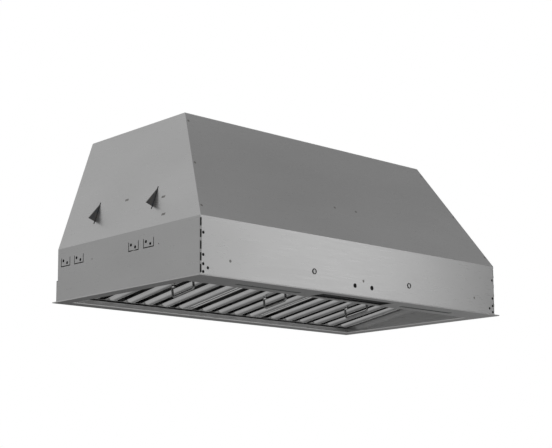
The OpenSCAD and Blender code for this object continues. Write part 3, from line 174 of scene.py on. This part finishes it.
def galvanised_steel():
    """Hot-dip galvanised sheet: zinc crystals about 8 mm across, each its own grey, under a dull sheen.
    A noise with features about as wide shifts their borders by up to 6 mm, so they aren't straight."""
    crystal, bend, shift = 8.0, 7.14, 6.0
    made = bpy.data.materials.new("galvanised_sheet")
    tree = empty_tree(made)
    place = add(tree, "ShaderNodeTexCoord").outputs["Object"]
    bent = add(tree, "ShaderNodeTexNoise", {"Vector": place, "Scale": waves(bend), "Detail": 2.0})
    shifts = add(tree, "ShaderNodeVectorMath", {0: bent.outputs["Color"], 1: mm([shift] * 3)},
                 operation="MULTIPLY")
    shifted = add(tree, "ShaderNodeVectorMath", {0: place, 1: shifts.outputs[0]}, operation="ADD")
    crystals = add(tree, "ShaderNodeTexVoronoi", {"Vector": shifted.outputs[0], "Scale": waves(crystal)})
    tone = add(tree, "ShaderNodeSeparateColor", {0: crystals.outputs["Color"]}).outputs[0]
    colour = add(tree, "ShaderNodeMix", {
        SHARE: tone, TONE_A: linear("#8f9496"), TONE_B: linear("#b4b8ba")}, data_type="RGBA")
    gloss = add(tree, "ShaderNodeMapRange", {"Value": tone, "To Min": 0.34, "To Max": 0.52})
    shader = add(tree, "ShaderNodeBsdfPrincipled", {
        "Base Color": colour.outputs[MIXED], "Roughness": gloss.outputs[0], "Metallic": 1.0})
    add(tree, "ShaderNodeOutputMaterial", {"Surface": shader.outputs[0]})
    return made


def circuit_board():
    """Glass-epoxy board under green solder mask: glossy, with copper tracks 2.1 mm apart that show
    faintly under the mask. The brick pattern has four rows to its scale, and gaps of 0.04 of it."""
    made = bpy.data.materials.new("solder_mask_board")
    tree = empty_tree(made)
    place = add(tree, "ShaderNodeTexCoord").outputs["Object"]
    tracks = add(tree, "ShaderNodeTexBrick", {
        "Vector": place, "Color1": linear("#2a6b43"), "Color2": linear("#24603b"),
        "Mortar": linear("#4b8f5c"), "Scale": waves(8.33), "Mortar Size": 0.04,
    })
    raised = add(tree, "ShaderNodeBump", {
        "Height": tracks.outputs["Fac"], "Distance": mm(0.02), "Strength": 1.0})
    shader = add(tree, "ShaderNodeBsdfPrincipled", {
        "Base Color": tracks.outputs["Color"], "Normal": raised.outputs[0], "Roughness": 0.3, "IOR": 1.55})
    add(tree, "ShaderNodeOutputMaterial", {"Surface": shader.outputs[0]})
    return made


STAINLESS_X = brushed_stainless("stainless_brushed_across", (50, 1, 1), (2.5, 1, 1))
STAINLESS_Y = brushed_stainless("stainless_brushed_front_to_back", (1, 50, 1), (1, 2.5, 1))

# 430 stainless with a bright annealed finish, as baffle filters are pressed from: nearly a mirror, with
# faint draw lines along the slats from the roll forming
ROLLED = finish("bright_rolled_stainless", ("#b4b4b4", "#c2c2c2"), blotch=(60, 3, EVEN),
                grain=(2.2, 2, (1, 60, 1)), rough=(0.17, 0.25), depth=0.01, Metallic=1.0)

# The upper baffles, as the mill rolled them (2B): duller than the polished lower ones, and their base
# colour is darkened further as painted shade for the gaps between the lower baffles, where they are seen
MILL_WITH_PAINTED_GAP_SHADE = finish("mill_stainless_with_painted_gap_shade", ("#6e6e6e", "#7c7c7c"), blotch=(45, 3, EVEN),
              grain=(1.8, 2, (1, 40, 1)), rough=(0.3, 0.4), depth=0.01, Metallic=1.0)

# Stainless where a spot welder's electrodes pressed and heated it: a dull straw-grey dimple
WELD = finish("heat_tinted_stainless", ("#6f6f6f", "#858380"), blotch=(2.5, 3, EVEN),
              grain=(0.8, 2, EVEN), rough=(0.34, 0.48), depth=0.02, Metallic=1.0)

GALVANISED = galvanised_steel()

# Hardened spring steel, oil blued: dark blue-grey with brown where the oil burned thin
SPRING = finish("blued_spring_steel", ("#4b4f54", "#625f5c"), blotch=(6, 3, EVEN),
                grain=(1.5, 3, EVEN), rough=(0.3, 0.38), depth=0.01, Metallic=1.0)

# Drawn stainless wire: smooth, with fine die lines. Its base colour is darkened as painted shade, standing
# in for the dark reflections along the bail legs
WIRE_PAINTED_DARK = finish("stainless_wire_painted_dark", ("#6c6c6c", "#808080"), blotch=(14, 2, EVEN),
              grain=(1.0, 3, (12, 12, 1)), rough=(0.16, 0.3), depth=0.003, Metallic=1.0)

# Clear zinc plating on small steel parts: cool grey, slightly cloudy
ZINC = finish("zinc_plated_steel", ("#a0a4a8", "#bcc0c2"), blotch=(2.5, 3, EVEN),
              grain=(1.4, 3, EVEN), rough=(0.24, 0.4), depth=0.005, Metallic=1.0)

# Injection-moulded ABS. Spark-eroded tooling leaves a fine even grain. The panel's is coarse and so
# matt that it stays black when it is seen at a slant; the buttons are satin
PANEL_BLACK = finish("textured_black_abs", ("#101112", "#151617"), blotch=(30, 2, EVEN),
                     grain=(0.9, 2, EVEN), rough=(0.62, 0.72), depth=0.03, IOR=1.53,
                     Specular_IOR_Level=0.15)
SATIN_BLACK = finish("satin_black_abs", ("#1d1e20", "#242527"), blotch=(30, 2, EVEN),
                     grain=(0.8, 2, EVEN), rough=(0.34, 0.46), depth=0.02, IOR=1.53)

# Moulded black nylon of the port plugs, and black rubber of the corner seams: matt, almost no sheen. Both
# also serve as painted shade: the nylon as dark discs in the pilot holes beside the corners, the rubber as
# dark rings round the rivet domes and the lamp lenses
BLACK_NYLON_AND_PAINTED_SHADE = finish("black_nylon_and_painted_hole_shade", ("#050506", "#0a0a0b"), blotch=(5, 2, EVEN),
               grain=(0.7, 2, EVEN), rough=(0.66, 0.78), depth=0.01, IOR=1.53, Specular_IOR_Level=0.2)
BLACK_RUBBER_AND_PAINTED_SHADE = finish("black_rubber_and_painted_shade", ("#0b0b0b", "#141414"), blotch=(4, 3, EVEN),
                grain=(0.6, 2, EVEN), rough=(0.7, 0.85), depth=0.02, IOR=1.52)

BOARD = circuit_board()

# Frosted polycarbonate: lets some light through and scatters it, so an unlit lamp is a flat grey bar
LENS = finish("frosted_polycarbonate", ("#7c8080", "#898c8b"), blotch=(25, 2, EVEN),
              grain=(0.9, 2, EVEN), rough=(0.44, 0.58), depth=0.02, IOR=1.58,
              Transmission_Weight=0.35, Specular_IOR_Level=0.25)

# White solder mask on the aluminium-cored lamp strip, a little yellowed by heat
LAMP_BOARD = finish("white_lamp_board", ("#e6e3d8", "#f0eee6"), blotch=(5, 2, EVEN),
                    grain=(1.2, 2, EVEN), rough=(0.38, 0.46), depth=0.01, IOR=1.5)

# Black stoving enamel on the motor's steel shell: satin, with orange-peel about 3 mm across
ENAMEL = finish("black_stoving_enamel", ("#26282b", "#303336"), blotch=(40, 2, EVEN),
                grain=(3, 2, EVEN), rough=(0.32, 0.42), depth=0.03, IOR=1.5)

FINISHES = {
    STAINLESS_X: ["front_panel", "back_panel", "roof_panel", "rear_rail", "rim_frame", "rear_liner",
                  "front_liner", "front_rivets"],
    STAINLESS_Y: ["left_side_panel", "right_side_panel", "left_liner", "right_liner"],
    ROLLED: [f"{which}_{part}" for which in FILTERS for part in ("filter_frame", "lower_baffles")],
    MILL_WITH_PAINTED_GAP_SHADE: [f"{which}_upper_baffles" for which in FILTERS],
    GALVANISED: ["control_cover", "left_lamp_housing", "right_lamp_housing", "catch_brackets",
                 "duct_collar", "front_damper_flap", "rear_damper_flap", "blower_scroll", "left_cheek",
                 "right_cheek", "blower_wheel", "motor_bracket", "discharge_box", "wiring_box",
                 "wiring_cover"],
    SPRING: ["filter_springs", "catch_springs", "catch_left_front", "catch_left_rear",
             "catch_right_front", "catch_right_rear"],
    WIRE_PAINTED_DARK: [f"{which}_bail" for which in FILTERS],
    ZINC: ["catch_pins", "damper_rod", "motor_shaft", "case_screws"],
    PANEL_BLACK: ["control_panel"],
    SATIN_BLACK: ["button_1", "button_2", "button_3", "button_4"],
    BOARD: ["control_board"],
    LENS: ["left_lamp_lens", "right_lamp_lens"],
    LAMP_BOARD: ["light_strips"],
    ENAMEL: ["motor_body"],
}

for material, names in FINISHES.items():
    for name in names:
        for slot in nodes[name].material_slots:
            slot.material = material


# Small pieces that stay out of the CAD: each is a surface worked out as arrays

# The casing's sizes as the CAD has them: its faces, and how far its slopes lean in as they rise
BAND_Y, BACK_Y, HALF_WIDTH = -238, 238, 436.5
BAND_TOP, HEIGHT = 115, 361
FRONT_INSET, SIDE_INSET = 153.5, 84
RISE = HEIGHT - BAND_TOP
FORWARDS, BACKWARDS, UPWARDS = (0, -1, 0), (0, 1, 0), (0, 0, 1)

# Places on the front band as (x, z)
BAND_WELDS = [(-364, 35.4), (0, 35.4), (364, 35.4)]
RIVETS = [(-142.3, 40.3), (142.3, 40.3)]
PORTS = [(-25.3, 23.4), (25.3, 23.4)]
CORNER_HOLES = [(side * x, z) for side in SIDES.values()
                for x, z in ((430.1, 8.3), (430.1, 22.9), (430.1, 40.3), (430.1, 82.2), (419, 16.4))]


def on_band(places):
    """Points of the front band."""
    return [(x, BAND_Y, z) for x, z in places]


def front_slope_edge(up):
    """Half the front slope's width, up mm above its foot along the sheet."""
    return HALF_WIDTH - up / math.hypot(FRONT_INSET, RISE) * SIDE_INSET


def on_front_slope(x, up):
    """A point of the front slope, up mm above its foot along the sheet."""
    share = up / math.hypot(FRONT_INSET, RISE)
    return x, BAND_Y + share * FRONT_INSET, BAND_TOP + share * RISE


def on_side_slope(side, y, z):
    """A point of the left (side -1) or right (side 1) slope."""
    return side * (HALF_WIDTH - SIDE_INSET * (z - BAND_TOP) / RISE), y, z


def full_turn(count):
    """count angles evenly round a full turn."""
    return np.arange(count) * math.tau / count


def new_piece(name, points, material, body="casing"):
    """A finished piece from points in mm, an array of grids by rows by columns, with each grid closed
    round its columns. Doubles are merged, so seams and poles close, faces turn outwards, and edges
    sharper than 35 degrees stay crisp."""
    cell = np.arange(points[..., 0].size).reshape(points.shape[:3])
    after = np.roll(cell, -1, axis=2)
    faces = np.stack([cell[:, :-1], cell[:, 1:], after[:, 1:], after[:, :-1]], -1)
    mesh = bpy.data.meshes.new(name)
    mesh.from_pydata(mm(points).reshape(-1, 3).tolist(), [], faces.reshape(-1, 4).tolist())
    form = bmesh.new()
    form.from_mesh(mesh)
    bmesh.ops.remove_doubles(form, verts=form.verts, dist=1e-6)
    bmesh.ops.recalc_face_normals(form, faces=form.faces)
    form.to_mesh(mesh)
    form.free()
    mesh.shade_smooth()
    mesh.set_sharp_from_angle(angle=math.radians(35))
    mesh.materials.append(material)
    made = bpy.data.objects.new(name, mesh)
    bpy.context.scene.collection.objects.link(made)
    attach(made, body)
    return made


def turned(name, outline, places, facing, material, turn=full_turn(20), lowered=0):
    """An outline, rows of (radius, height), turned round an axis at each place:
    point = place + radius * (cos(turn) * u + sin(turn) * v) + (height - lowered) * facing, with u, v and
    facing square to one another. The outline runs outwards over the top and back underneath. turn and
    lowered may also change from row to row and round a row."""
    radius, height = np.transpose(outline)[..., None]
    radius, height, turn = np.broadcast_arrays(radius, height - lowered, turn)
    places = np.asarray(places, float)
    facing = np.broadcast_to(np.asarray(facing, float), places.shape)
    facing = facing / np.linalg.norm(facing, axis=1, keepdims=True)
    askew = (0.31, 0.9, 0.3)  # no piece faces this way, so it always gives u a direction
    u = np.cross(facing, askew)
    u /= np.linalg.norm(u, axis=1, keepdims=True)
    v = np.cross(facing, u)
    place, u, v, facing = (w[:, None, None, :] for w in (places, u, v, facing))
    points = place + ((radius * np.cos(turn))[..., None] * u + (radius * np.sin(turn))[..., None] * v
                      + height[..., None] * facing)
    return new_piece(name, points, material)


def beads(name, starts, ends, across, outwards, half_width, rise, sink, material, body="casing"):
    """Straight beads from starts to ends: point = start + share * (end - start)
    + size * (half_width * cos(turn) * across + high * sin(turn) * outwards). high is rise on the side that
    shows and sink on the hidden one. size falls to nothing over the last 3% at both ends, as the root of
    the distance."""
    starts, ends, across, outwards = (np.reshape(np.asarray(p, float), (-1, 1, 1, 3))
                                      for p in (starts, ends, across, outwards))
    share = np.linspace(0, 1, 25)[:, None]
    size = np.sqrt(np.clip(np.minimum(share, 1 - share) / 0.03, 0, 1))
    turn = full_turn(14)
    wide = half_width * np.cos(turn) * size
    high = np.where(np.sin(turn) > 0, rise, sink) * np.sin(turn) * size
    points = (starts + share[..., None] * (ends - starts) + wide[..., None] * across
              + high[..., None] * outwards)
    new_piece(name, points, material, body)


def flange_welds():
    """Spot welds wherever a flange is welded behind the front panel, on the slope 5.8 mm in from both
    edges and beside the middle: a shallow dish 4.6 mm across inside a low pressed ring."""
    inwards, middle_x, middle_up = 5.8, 32, 94
    dish = [(0, 0.03), (1.2, 0.04), (1.9, 0.1), (2.3, 0.16), (2.6, 0.12), (2.9, 0.02), (2.9, -0.3),
            (0, -0.3)]
    band = on_band(BAND_WELDS)
    slope = [on_front_slope(side * (front_slope_edge(up) - inwards), up)
             for side in SIDES.values() for up in (26, 143.5, 266.5)]
    slope += [on_front_slope(side * middle_x, middle_up) for side in SIDES.values()]
    facing = [FORWARDS] * len(band) + [(0, -RISE, FRONT_INSET)] * len(slope)
    turned("flange_welds", dish, band + slope, facing, WELD)


def bracket_welds():
    """Three oblong projection welds a side, 12 mm long and 5 mm wide, where the catches' brackets are
    welded behind the side slopes: low beads that lie front to back."""
    half_length = np.array([0, 6, 0])
    long_slope = math.hypot(SIDE_INSET, RISE)
    for hand, side in SIDES.items():
        middles = np.array([on_side_slope(side, y, z)
                            for y, z in ((29.6, 191.4), (-97.6, 176), (-115.4, 136.5))])
        across = np.array([-side * SIDE_INSET, 0, RISE]) / long_slope
        outwards = np.array([side * RISE, 0, SIDE_INSET]) / long_slope
        beads(f"{hand}_bracket_welds", middles - half_length, middles + half_length, across, outwards,
              2.5, 0.25, 0.3, WELD)


def corner_seams():
    """Dark sealant behind the slits in the front corners: a round bead, its middle 1.3 mm inside both
    faces, that stops 0.5 mm short of the corner's edge."""
    inside, low, high = 1.3, 4, 112
    half = math.sqrt(0.5)
    for hand, side in SIDES.items():
        x, y = side * (HALF_WIDTH - inside), BAND_Y + inside
        beads(f"{hand}_corner_seam", (x, y, low), (x, y, high), (side * half, half, 0),
              (side * half, -half, 0), 1.5, 1.3, 1.0, BLACK_RUBBER_AND_PAINTED_SHADE)


def rivet_painted_shade_rings():
    """Black rubber rings round the bright domes of the two rivets on the front band, as painted shade that
    stands in for the shadow gap round each dome: a ring whose face rises from the dome's foot and rounds
    over at the outside."""
    ring = [(3.9, 0.34), (4.3, 0.84), (4.9, 0.96), (5.5, 0.94), (5.9, 0.7), (6.0, 0.4), (6.0, -0.2),
            (3.9, -0.2), (3.9, 0.34)]
    turned("rivet_painted_shade_rings", ring, on_band(RIVETS), FORWARDS, BLACK_RUBBER_AND_PAINTED_SHADE)


def lamp_painted_shade_rings():
    """Black rings between the lamp slots and their lenses, as painted shade that stands in for the shadow
    gap round each lens: a small profile carried round a rounded rectangle, whose half sizes and corner
    radius shrink by the profile's distance inwards."""
    lamp_x, lamp_y = 235.5, -204.3
    half_length, half_width, corner = 84.5, 6.1, 2.4
    inwards = np.array([0, 0, 1.3, 1.3, 0.9, 0])[:, None]
    height = np.array([0.15, 0.9, 0.9, 0.5, 0.15, 0.15])[:, None]
    turn = full_turn(28) + 0.02  # off the axes, so that each point belongs to one corner
    way_x, way_y = np.sign(np.cos(turn)), np.sign(np.sin(turn))
    painted_shade_outline = np.stack([
        way_x * (half_length - corner) + (corner - inwards) * np.cos(turn),
        lamp_y + way_y * (half_width - corner) + (corner - inwards) * np.sin(turn),
        height + 0 * turn,
    ], -1)
    both = np.stack([painted_shade_outline + (side * lamp_x, 0, 0) for side in SIDES.values()])
    new_piece("lamp_painted_shade_rings", both, BLACK_RUBBER_AND_PAINTED_SHADE)


def port_plugs():
    """Snap-in plugs in the two ports: a low dome 9.6 mm across over a stem that fills the 5 mm hole."""
    plug = [(0, 0.95), (1.7, 0.9), (3.1, 0.75), (4.0, 0.5), (4.6, 0.25), (4.8, 0.1), (4.8, 0), (2.4, 0),
            (2.4, -1.6), (2.0, -2.6), (0, -2.6)]
    turned("port_plugs", plug, on_band(PORTS), FORWARDS, BLACK_NYLON_AND_PAINTED_SHADE)


def corner_hole_painted_shade():
    """Black domes 6 mm across in the pilot holes beside the front band's corners, as painted shade that
    stands in for the dark inside of the holes.
    """
    plug = [(0, 0.5), (1.2, 0.46), (2.1, 0.34), (2.7, 0.18), (3.0, 0.04), (3.0, 0), (2.3, 0), (2.3, -1.5),
            (0, -1.5)]
    turned("corner_hole_painted_shade", plug, on_band(CORNER_HOLES), FORWARDS, BLACK_NYLON_AND_PAINTED_SHADE)


def cross_head_screws():
    """Pan-head screws, 8 mm long: a low dome, height = 2 - 0.9 * (radius / head) ** 2, over a stepped
    shank. Each ring has six points to a quarter turn, two of them on each side of the cross, whose arms
    are 0.9 mm wide and 4.2 mm from tip to tip. Inside the arms the dome is lowered by
    1.1 - 0.12 * radius ** 2."""
    head, arm, reach = 3.8, 0.45, 2.1
    radius = np.array([0, 0.3, 0.5, 0.9, 1.4, reach, reach + 0.06, 2.6, 3.2, 3.6, head,
                       head, 1.9, 1.9, 0.95, 0])
    dome_rings = 11
    height = 2.0 - 0.9 * (radius / head) ** 2
    height[dome_rings:] = (0, 0, -6.1, -8, -8)
    half = np.degrees(np.arcsin(arm / np.clip(radius, arm * 1.04, reach)))[:, None]
    quarter = np.concatenate([0 * half, 0.9 * half, 1.06 * half, 45 + 0 * half,
                              90 - 1.06 * half, 90 - 0.9 * half], 1)
    turn = np.radians(np.concatenate([quarter + 90 * i for i in range(4)], 1))
    in_arms = np.tile([1, 1, 0, 0, 0, 1], 4) * (radius <= reach)[:, None]
    in_arms[radius < arm] = 1
    in_arms[dome_rings:] = 0
    lowered = in_arms * (1.1 - 0.12 * radius[:, None] ** 2)

    roof = [(x, y, HEIGHT) for x in (-246.75, 0, 246.75) for y in (-76.44, 229.5)]
    roof += [(x, y, HEIGHT) for x in (-344.28, 344.28) for y in (-3.875, 157.375)]
    duct_y, circle, collar_top = 105, 107.5, HEIGHT + 1
    collar = [(circle * math.cos(a), duct_y + circle * math.sin(a), collar_top)
              for a in np.radians(np.arange(30, 360, 60))]
    back = [(side * x, BACK_Y, z) for side in SIDES.values()
            for x, z in ((425.5, 64.98), (404.98, 173.28), (365.53, 288.8))]
    facing = [UPWARDS] * len(roof + collar) + [BACKWARDS] * len(back)
    screws = turned("cross_head_screws", np.stack([radius, height], 1), roof + collar + back, facing,
                    ZINC, turn, lowered)
    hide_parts("case_screws")


def rail_ends():
    """Bent-in ends that close the rear rail's channel, 3.4 mm wide and softly crowned."""
    rail_x, rail_y, low, high = 435.6, 239.75, 2.6, 46.6
    for hand, side in SIDES.items():
        x = side * rail_x
        beads(f"{hand}_rail_end", (x, rail_y, low), (x, rail_y, high), BACKWARDS, (side, 0, 0),
              1.7, 0.8, 0.5, STAINLESS_Y)


def frame_beads(which):
    """Rolled stiffening beads, 4.4 mm wide and 1.5 mm high, under a filter frame's two long edges. They
    stop 8 mm short of its front end and 14 mm short of the line that it hinges on."""
    edge_in, front_gap, hinge_gap = 4.75, 8, 14
    hinge_y, hinge_z, tilt = 216, 13.17, math.radians(8.92)
    low, high = np.array(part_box(f"{which}_filter_frame")) * 1000
    reach = (hinge_y - low[1]) / math.cos(tilt)
    starts, ends = ([(x, hinge_y - far * math.cos(tilt), hinge_z + far * math.sin(tilt))
                     for x in (low[0] + edge_in, high[0] - edge_in)]
                    for far in (reach - front_gap, hinge_gap))
    beads(f"{which}_frame_beads", starts, ends, (1, 0, 0), (0, -math.sin(tilt), -math.cos(tilt)),
          2.2, 1.5, 0.3, ROLLED, f"{which}_filter")


flange_welds()
bracket_welds()
corner_seams()
rivet_painted_shade_rings()
lamp_painted_shade_rings()
port_plugs()
corner_hole_painted_shade()
cross_head_screws()
rail_ends()
for which in FILTERS:
    frame_beads(which)


# Studio: white all round, a pale floor, grey cards that the metal mirrors, and soft lamps

FLOOR_Z, FLOOR_HALF = -3.1, 90
OBJECT_MIDDLE = Vector((0, 0, 0.15))

# name, centre, half across, half up, brightness at even steps across
CARDS = [
    ("dark_rear_card", (3.4, 3.6, -0.5), (3.8, -3.6, 0), (0, 0, 1.75),
     [0.12, 0.11, 0.11, 0.12, 0.18, 0.28, 0.34, 0.36, 0.36]),
    ("floor_card", (1.4, 3.6, -2.35), (2.8, 0, 0), (0, 3.2, 0),
     [0.58, 0.6, 0.65, 0.5, 0.28, 0.2, 0.17, 0.17, 0.17]),
    ("high_card", (2.6, -0.9, 2.9), (0, 2.2, 0), (1.6, 0, -1.2), [0.42, 0.42]),
    ("left_card", (-2.6, 2.9, 0.55), (1.8, 1.7, 0), (0, 0, 0.6), [0.55, 0.55]),
    ("high_left_card", (-2.3, 3.2, 2.7), (2.2, 1.4, 0), (0.3, -0.4, 1.5), [0.77, 0.77]),
    ("front_card", (4.1, -2.87, 0.25), (1.337, 1.908, 0), (0, 0, 1.75),
     [0.1, 0.6, 2.3, 0.85, 0.05, 0.08, 0.2, 0.35, 0.4]),
]

# name, place, side, brightness
LAMPS = [
    ("front_lamp", (-1.6, -2.4, 2.2), 1.8, 1.1),
    ("side_lamp", (2.6, -0.6, 1.6), 1.4, 0.6),
    ("low_lamp", (-0.8, -1.2, -1.1), 1.2, 0.7),
]


def seen_directly(tree, dull, shown):
    """A strength that is shown for the camera, reflections and light through glass, and dull otherwise."""
    rays = add(tree, "ShaderNodeLightPath")
    seen = rays.outputs["Is Camera Ray"]
    for kind in ("Is Glossy Ray", "Is Transmission Ray"):
        seen = add(tree, "ShaderNodeMath", {0: seen, 1: rays.outputs[kind]}, operation="MAXIMUM").outputs[0]
    return add(tree, "ShaderNodeMapRange", {"Value": seen, "To Min": dull, "To Max": shown}).outputs[0]


def set_world():
    """White for the camera and in reflections, and half as bright where it lights dull surfaces."""
    world = bpy.data.worlds.new("white_studio")
    bpy.context.scene.world = world
    tree = empty_tree(world)
    light = add(tree, "ShaderNodeBackground", {"Color": WHITE, "Strength": seen_directly(tree, 0.5, 1.0)})
    add(tree, "ShaderNodeOutputWorld", {"Surface": light.outputs[0]})


def sheet(name, centre, across, up, columns, material):
    """A flat rectangle: centre + s*across + t*up, with s on columns + 1 even steps and t at -1 and 1."""
    centre, across, up = (np.asarray(v, float) for v in (centre, across, up))
    s, t = np.meshgrid(np.linspace(-1, 1, columns + 1), (-1, 1), indexing="ij")
    points = centre + s[..., None] * across + t[..., None] * up
    low = np.arange(columns) * 2
    faces = np.stack([low, low + 2, low + 3, low + 1], 1)
    mesh = bpy.data.meshes.new(name)
    mesh.from_pydata(points.reshape(-1, 3).tolist(), [], faces.tolist())
    mesh.materials.append(material)
    made = bpy.data.objects.new(name, mesh)
    bpy.context.scene.collection.objects.link(made)
    return made


def studio_floor():
    """Matt white studio floor with the faint mottle of rolled paint. The camera and reflections see it
    paler than the plain light makes it, and it keeps its shadows."""
    paint = finish("matt_white_floor", ("#e2e2e0", "#e6e6e4"), blotch=(40, 3, EVEN),
                   grain=(40, 3, EVEN), rough=(0.86, 0.94), depth=0.05)
    tree = paint.node_tree
    shader = tree.nodes["Principled BSDF"]
    shader.inputs["Emission Color"].default_value = WHITE
    tree.links.new(seen_directly(tree, 0.0, 0.3), shader.inputs["Emission Strength"])
    sheet("floor", (0, 0, FLOOR_Z), (FLOOR_HALF, 0, 0), (0, FLOOR_HALF, 0), 1, paint)


def grey_card(name, centre, across, up, levels):
    """A studio card that only the metal's reflections see. levels are its brightness at even steps
    from its one side to the other, where 1 is the white of the room, so a card can fade into it."""
    paint = bpy.data.materials.new(name)
    tree = empty_tree(paint)
    level = add(tree, "ShaderNodeAttribute", attribute_name="level")
    glow = add(tree, "ShaderNodeEmission", {"Color": WHITE, "Strength": level.outputs["Fac"]})
    add(tree, "ShaderNodeOutputMaterial", {"Surface": glow.outputs[0]})
    card = sheet(name, centre, across, up, len(levels) - 1, paint)
    card.data.attributes.new("level", "FLOAT", "POINT").data.foreach_set("value", np.repeat(levels, 2))
    card.visible_camera = card.visible_diffuse = card.visible_shadow = card.visible_transmission = False


def soft_lamp(name, place, size, level):
    """A square lamp that faces the object: level is the brightness of its face, where 1 is white."""
    data = bpy.data.lights.new(name, "AREA")
    data.size = size
    data.energy = level * math.pi * size * size
    lamp = bpy.data.objects.new(name, data)
    toward = (OBJECT_MIDDLE - Vector(place)).to_track_quat("-Z", "Y").to_matrix().to_4x4()
    lamp.matrix_world = Matrix.Translation(place) @ toward
    lamp.visible_camera = False
    lamp.visible_glossy = False
    bpy.context.scene.collection.objects.link(lamp)


set_world()
studio_floor()
for card in CARDS:
    grey_card(*card)
for lamp in LAMPS:
    soft_lamp(*lamp)
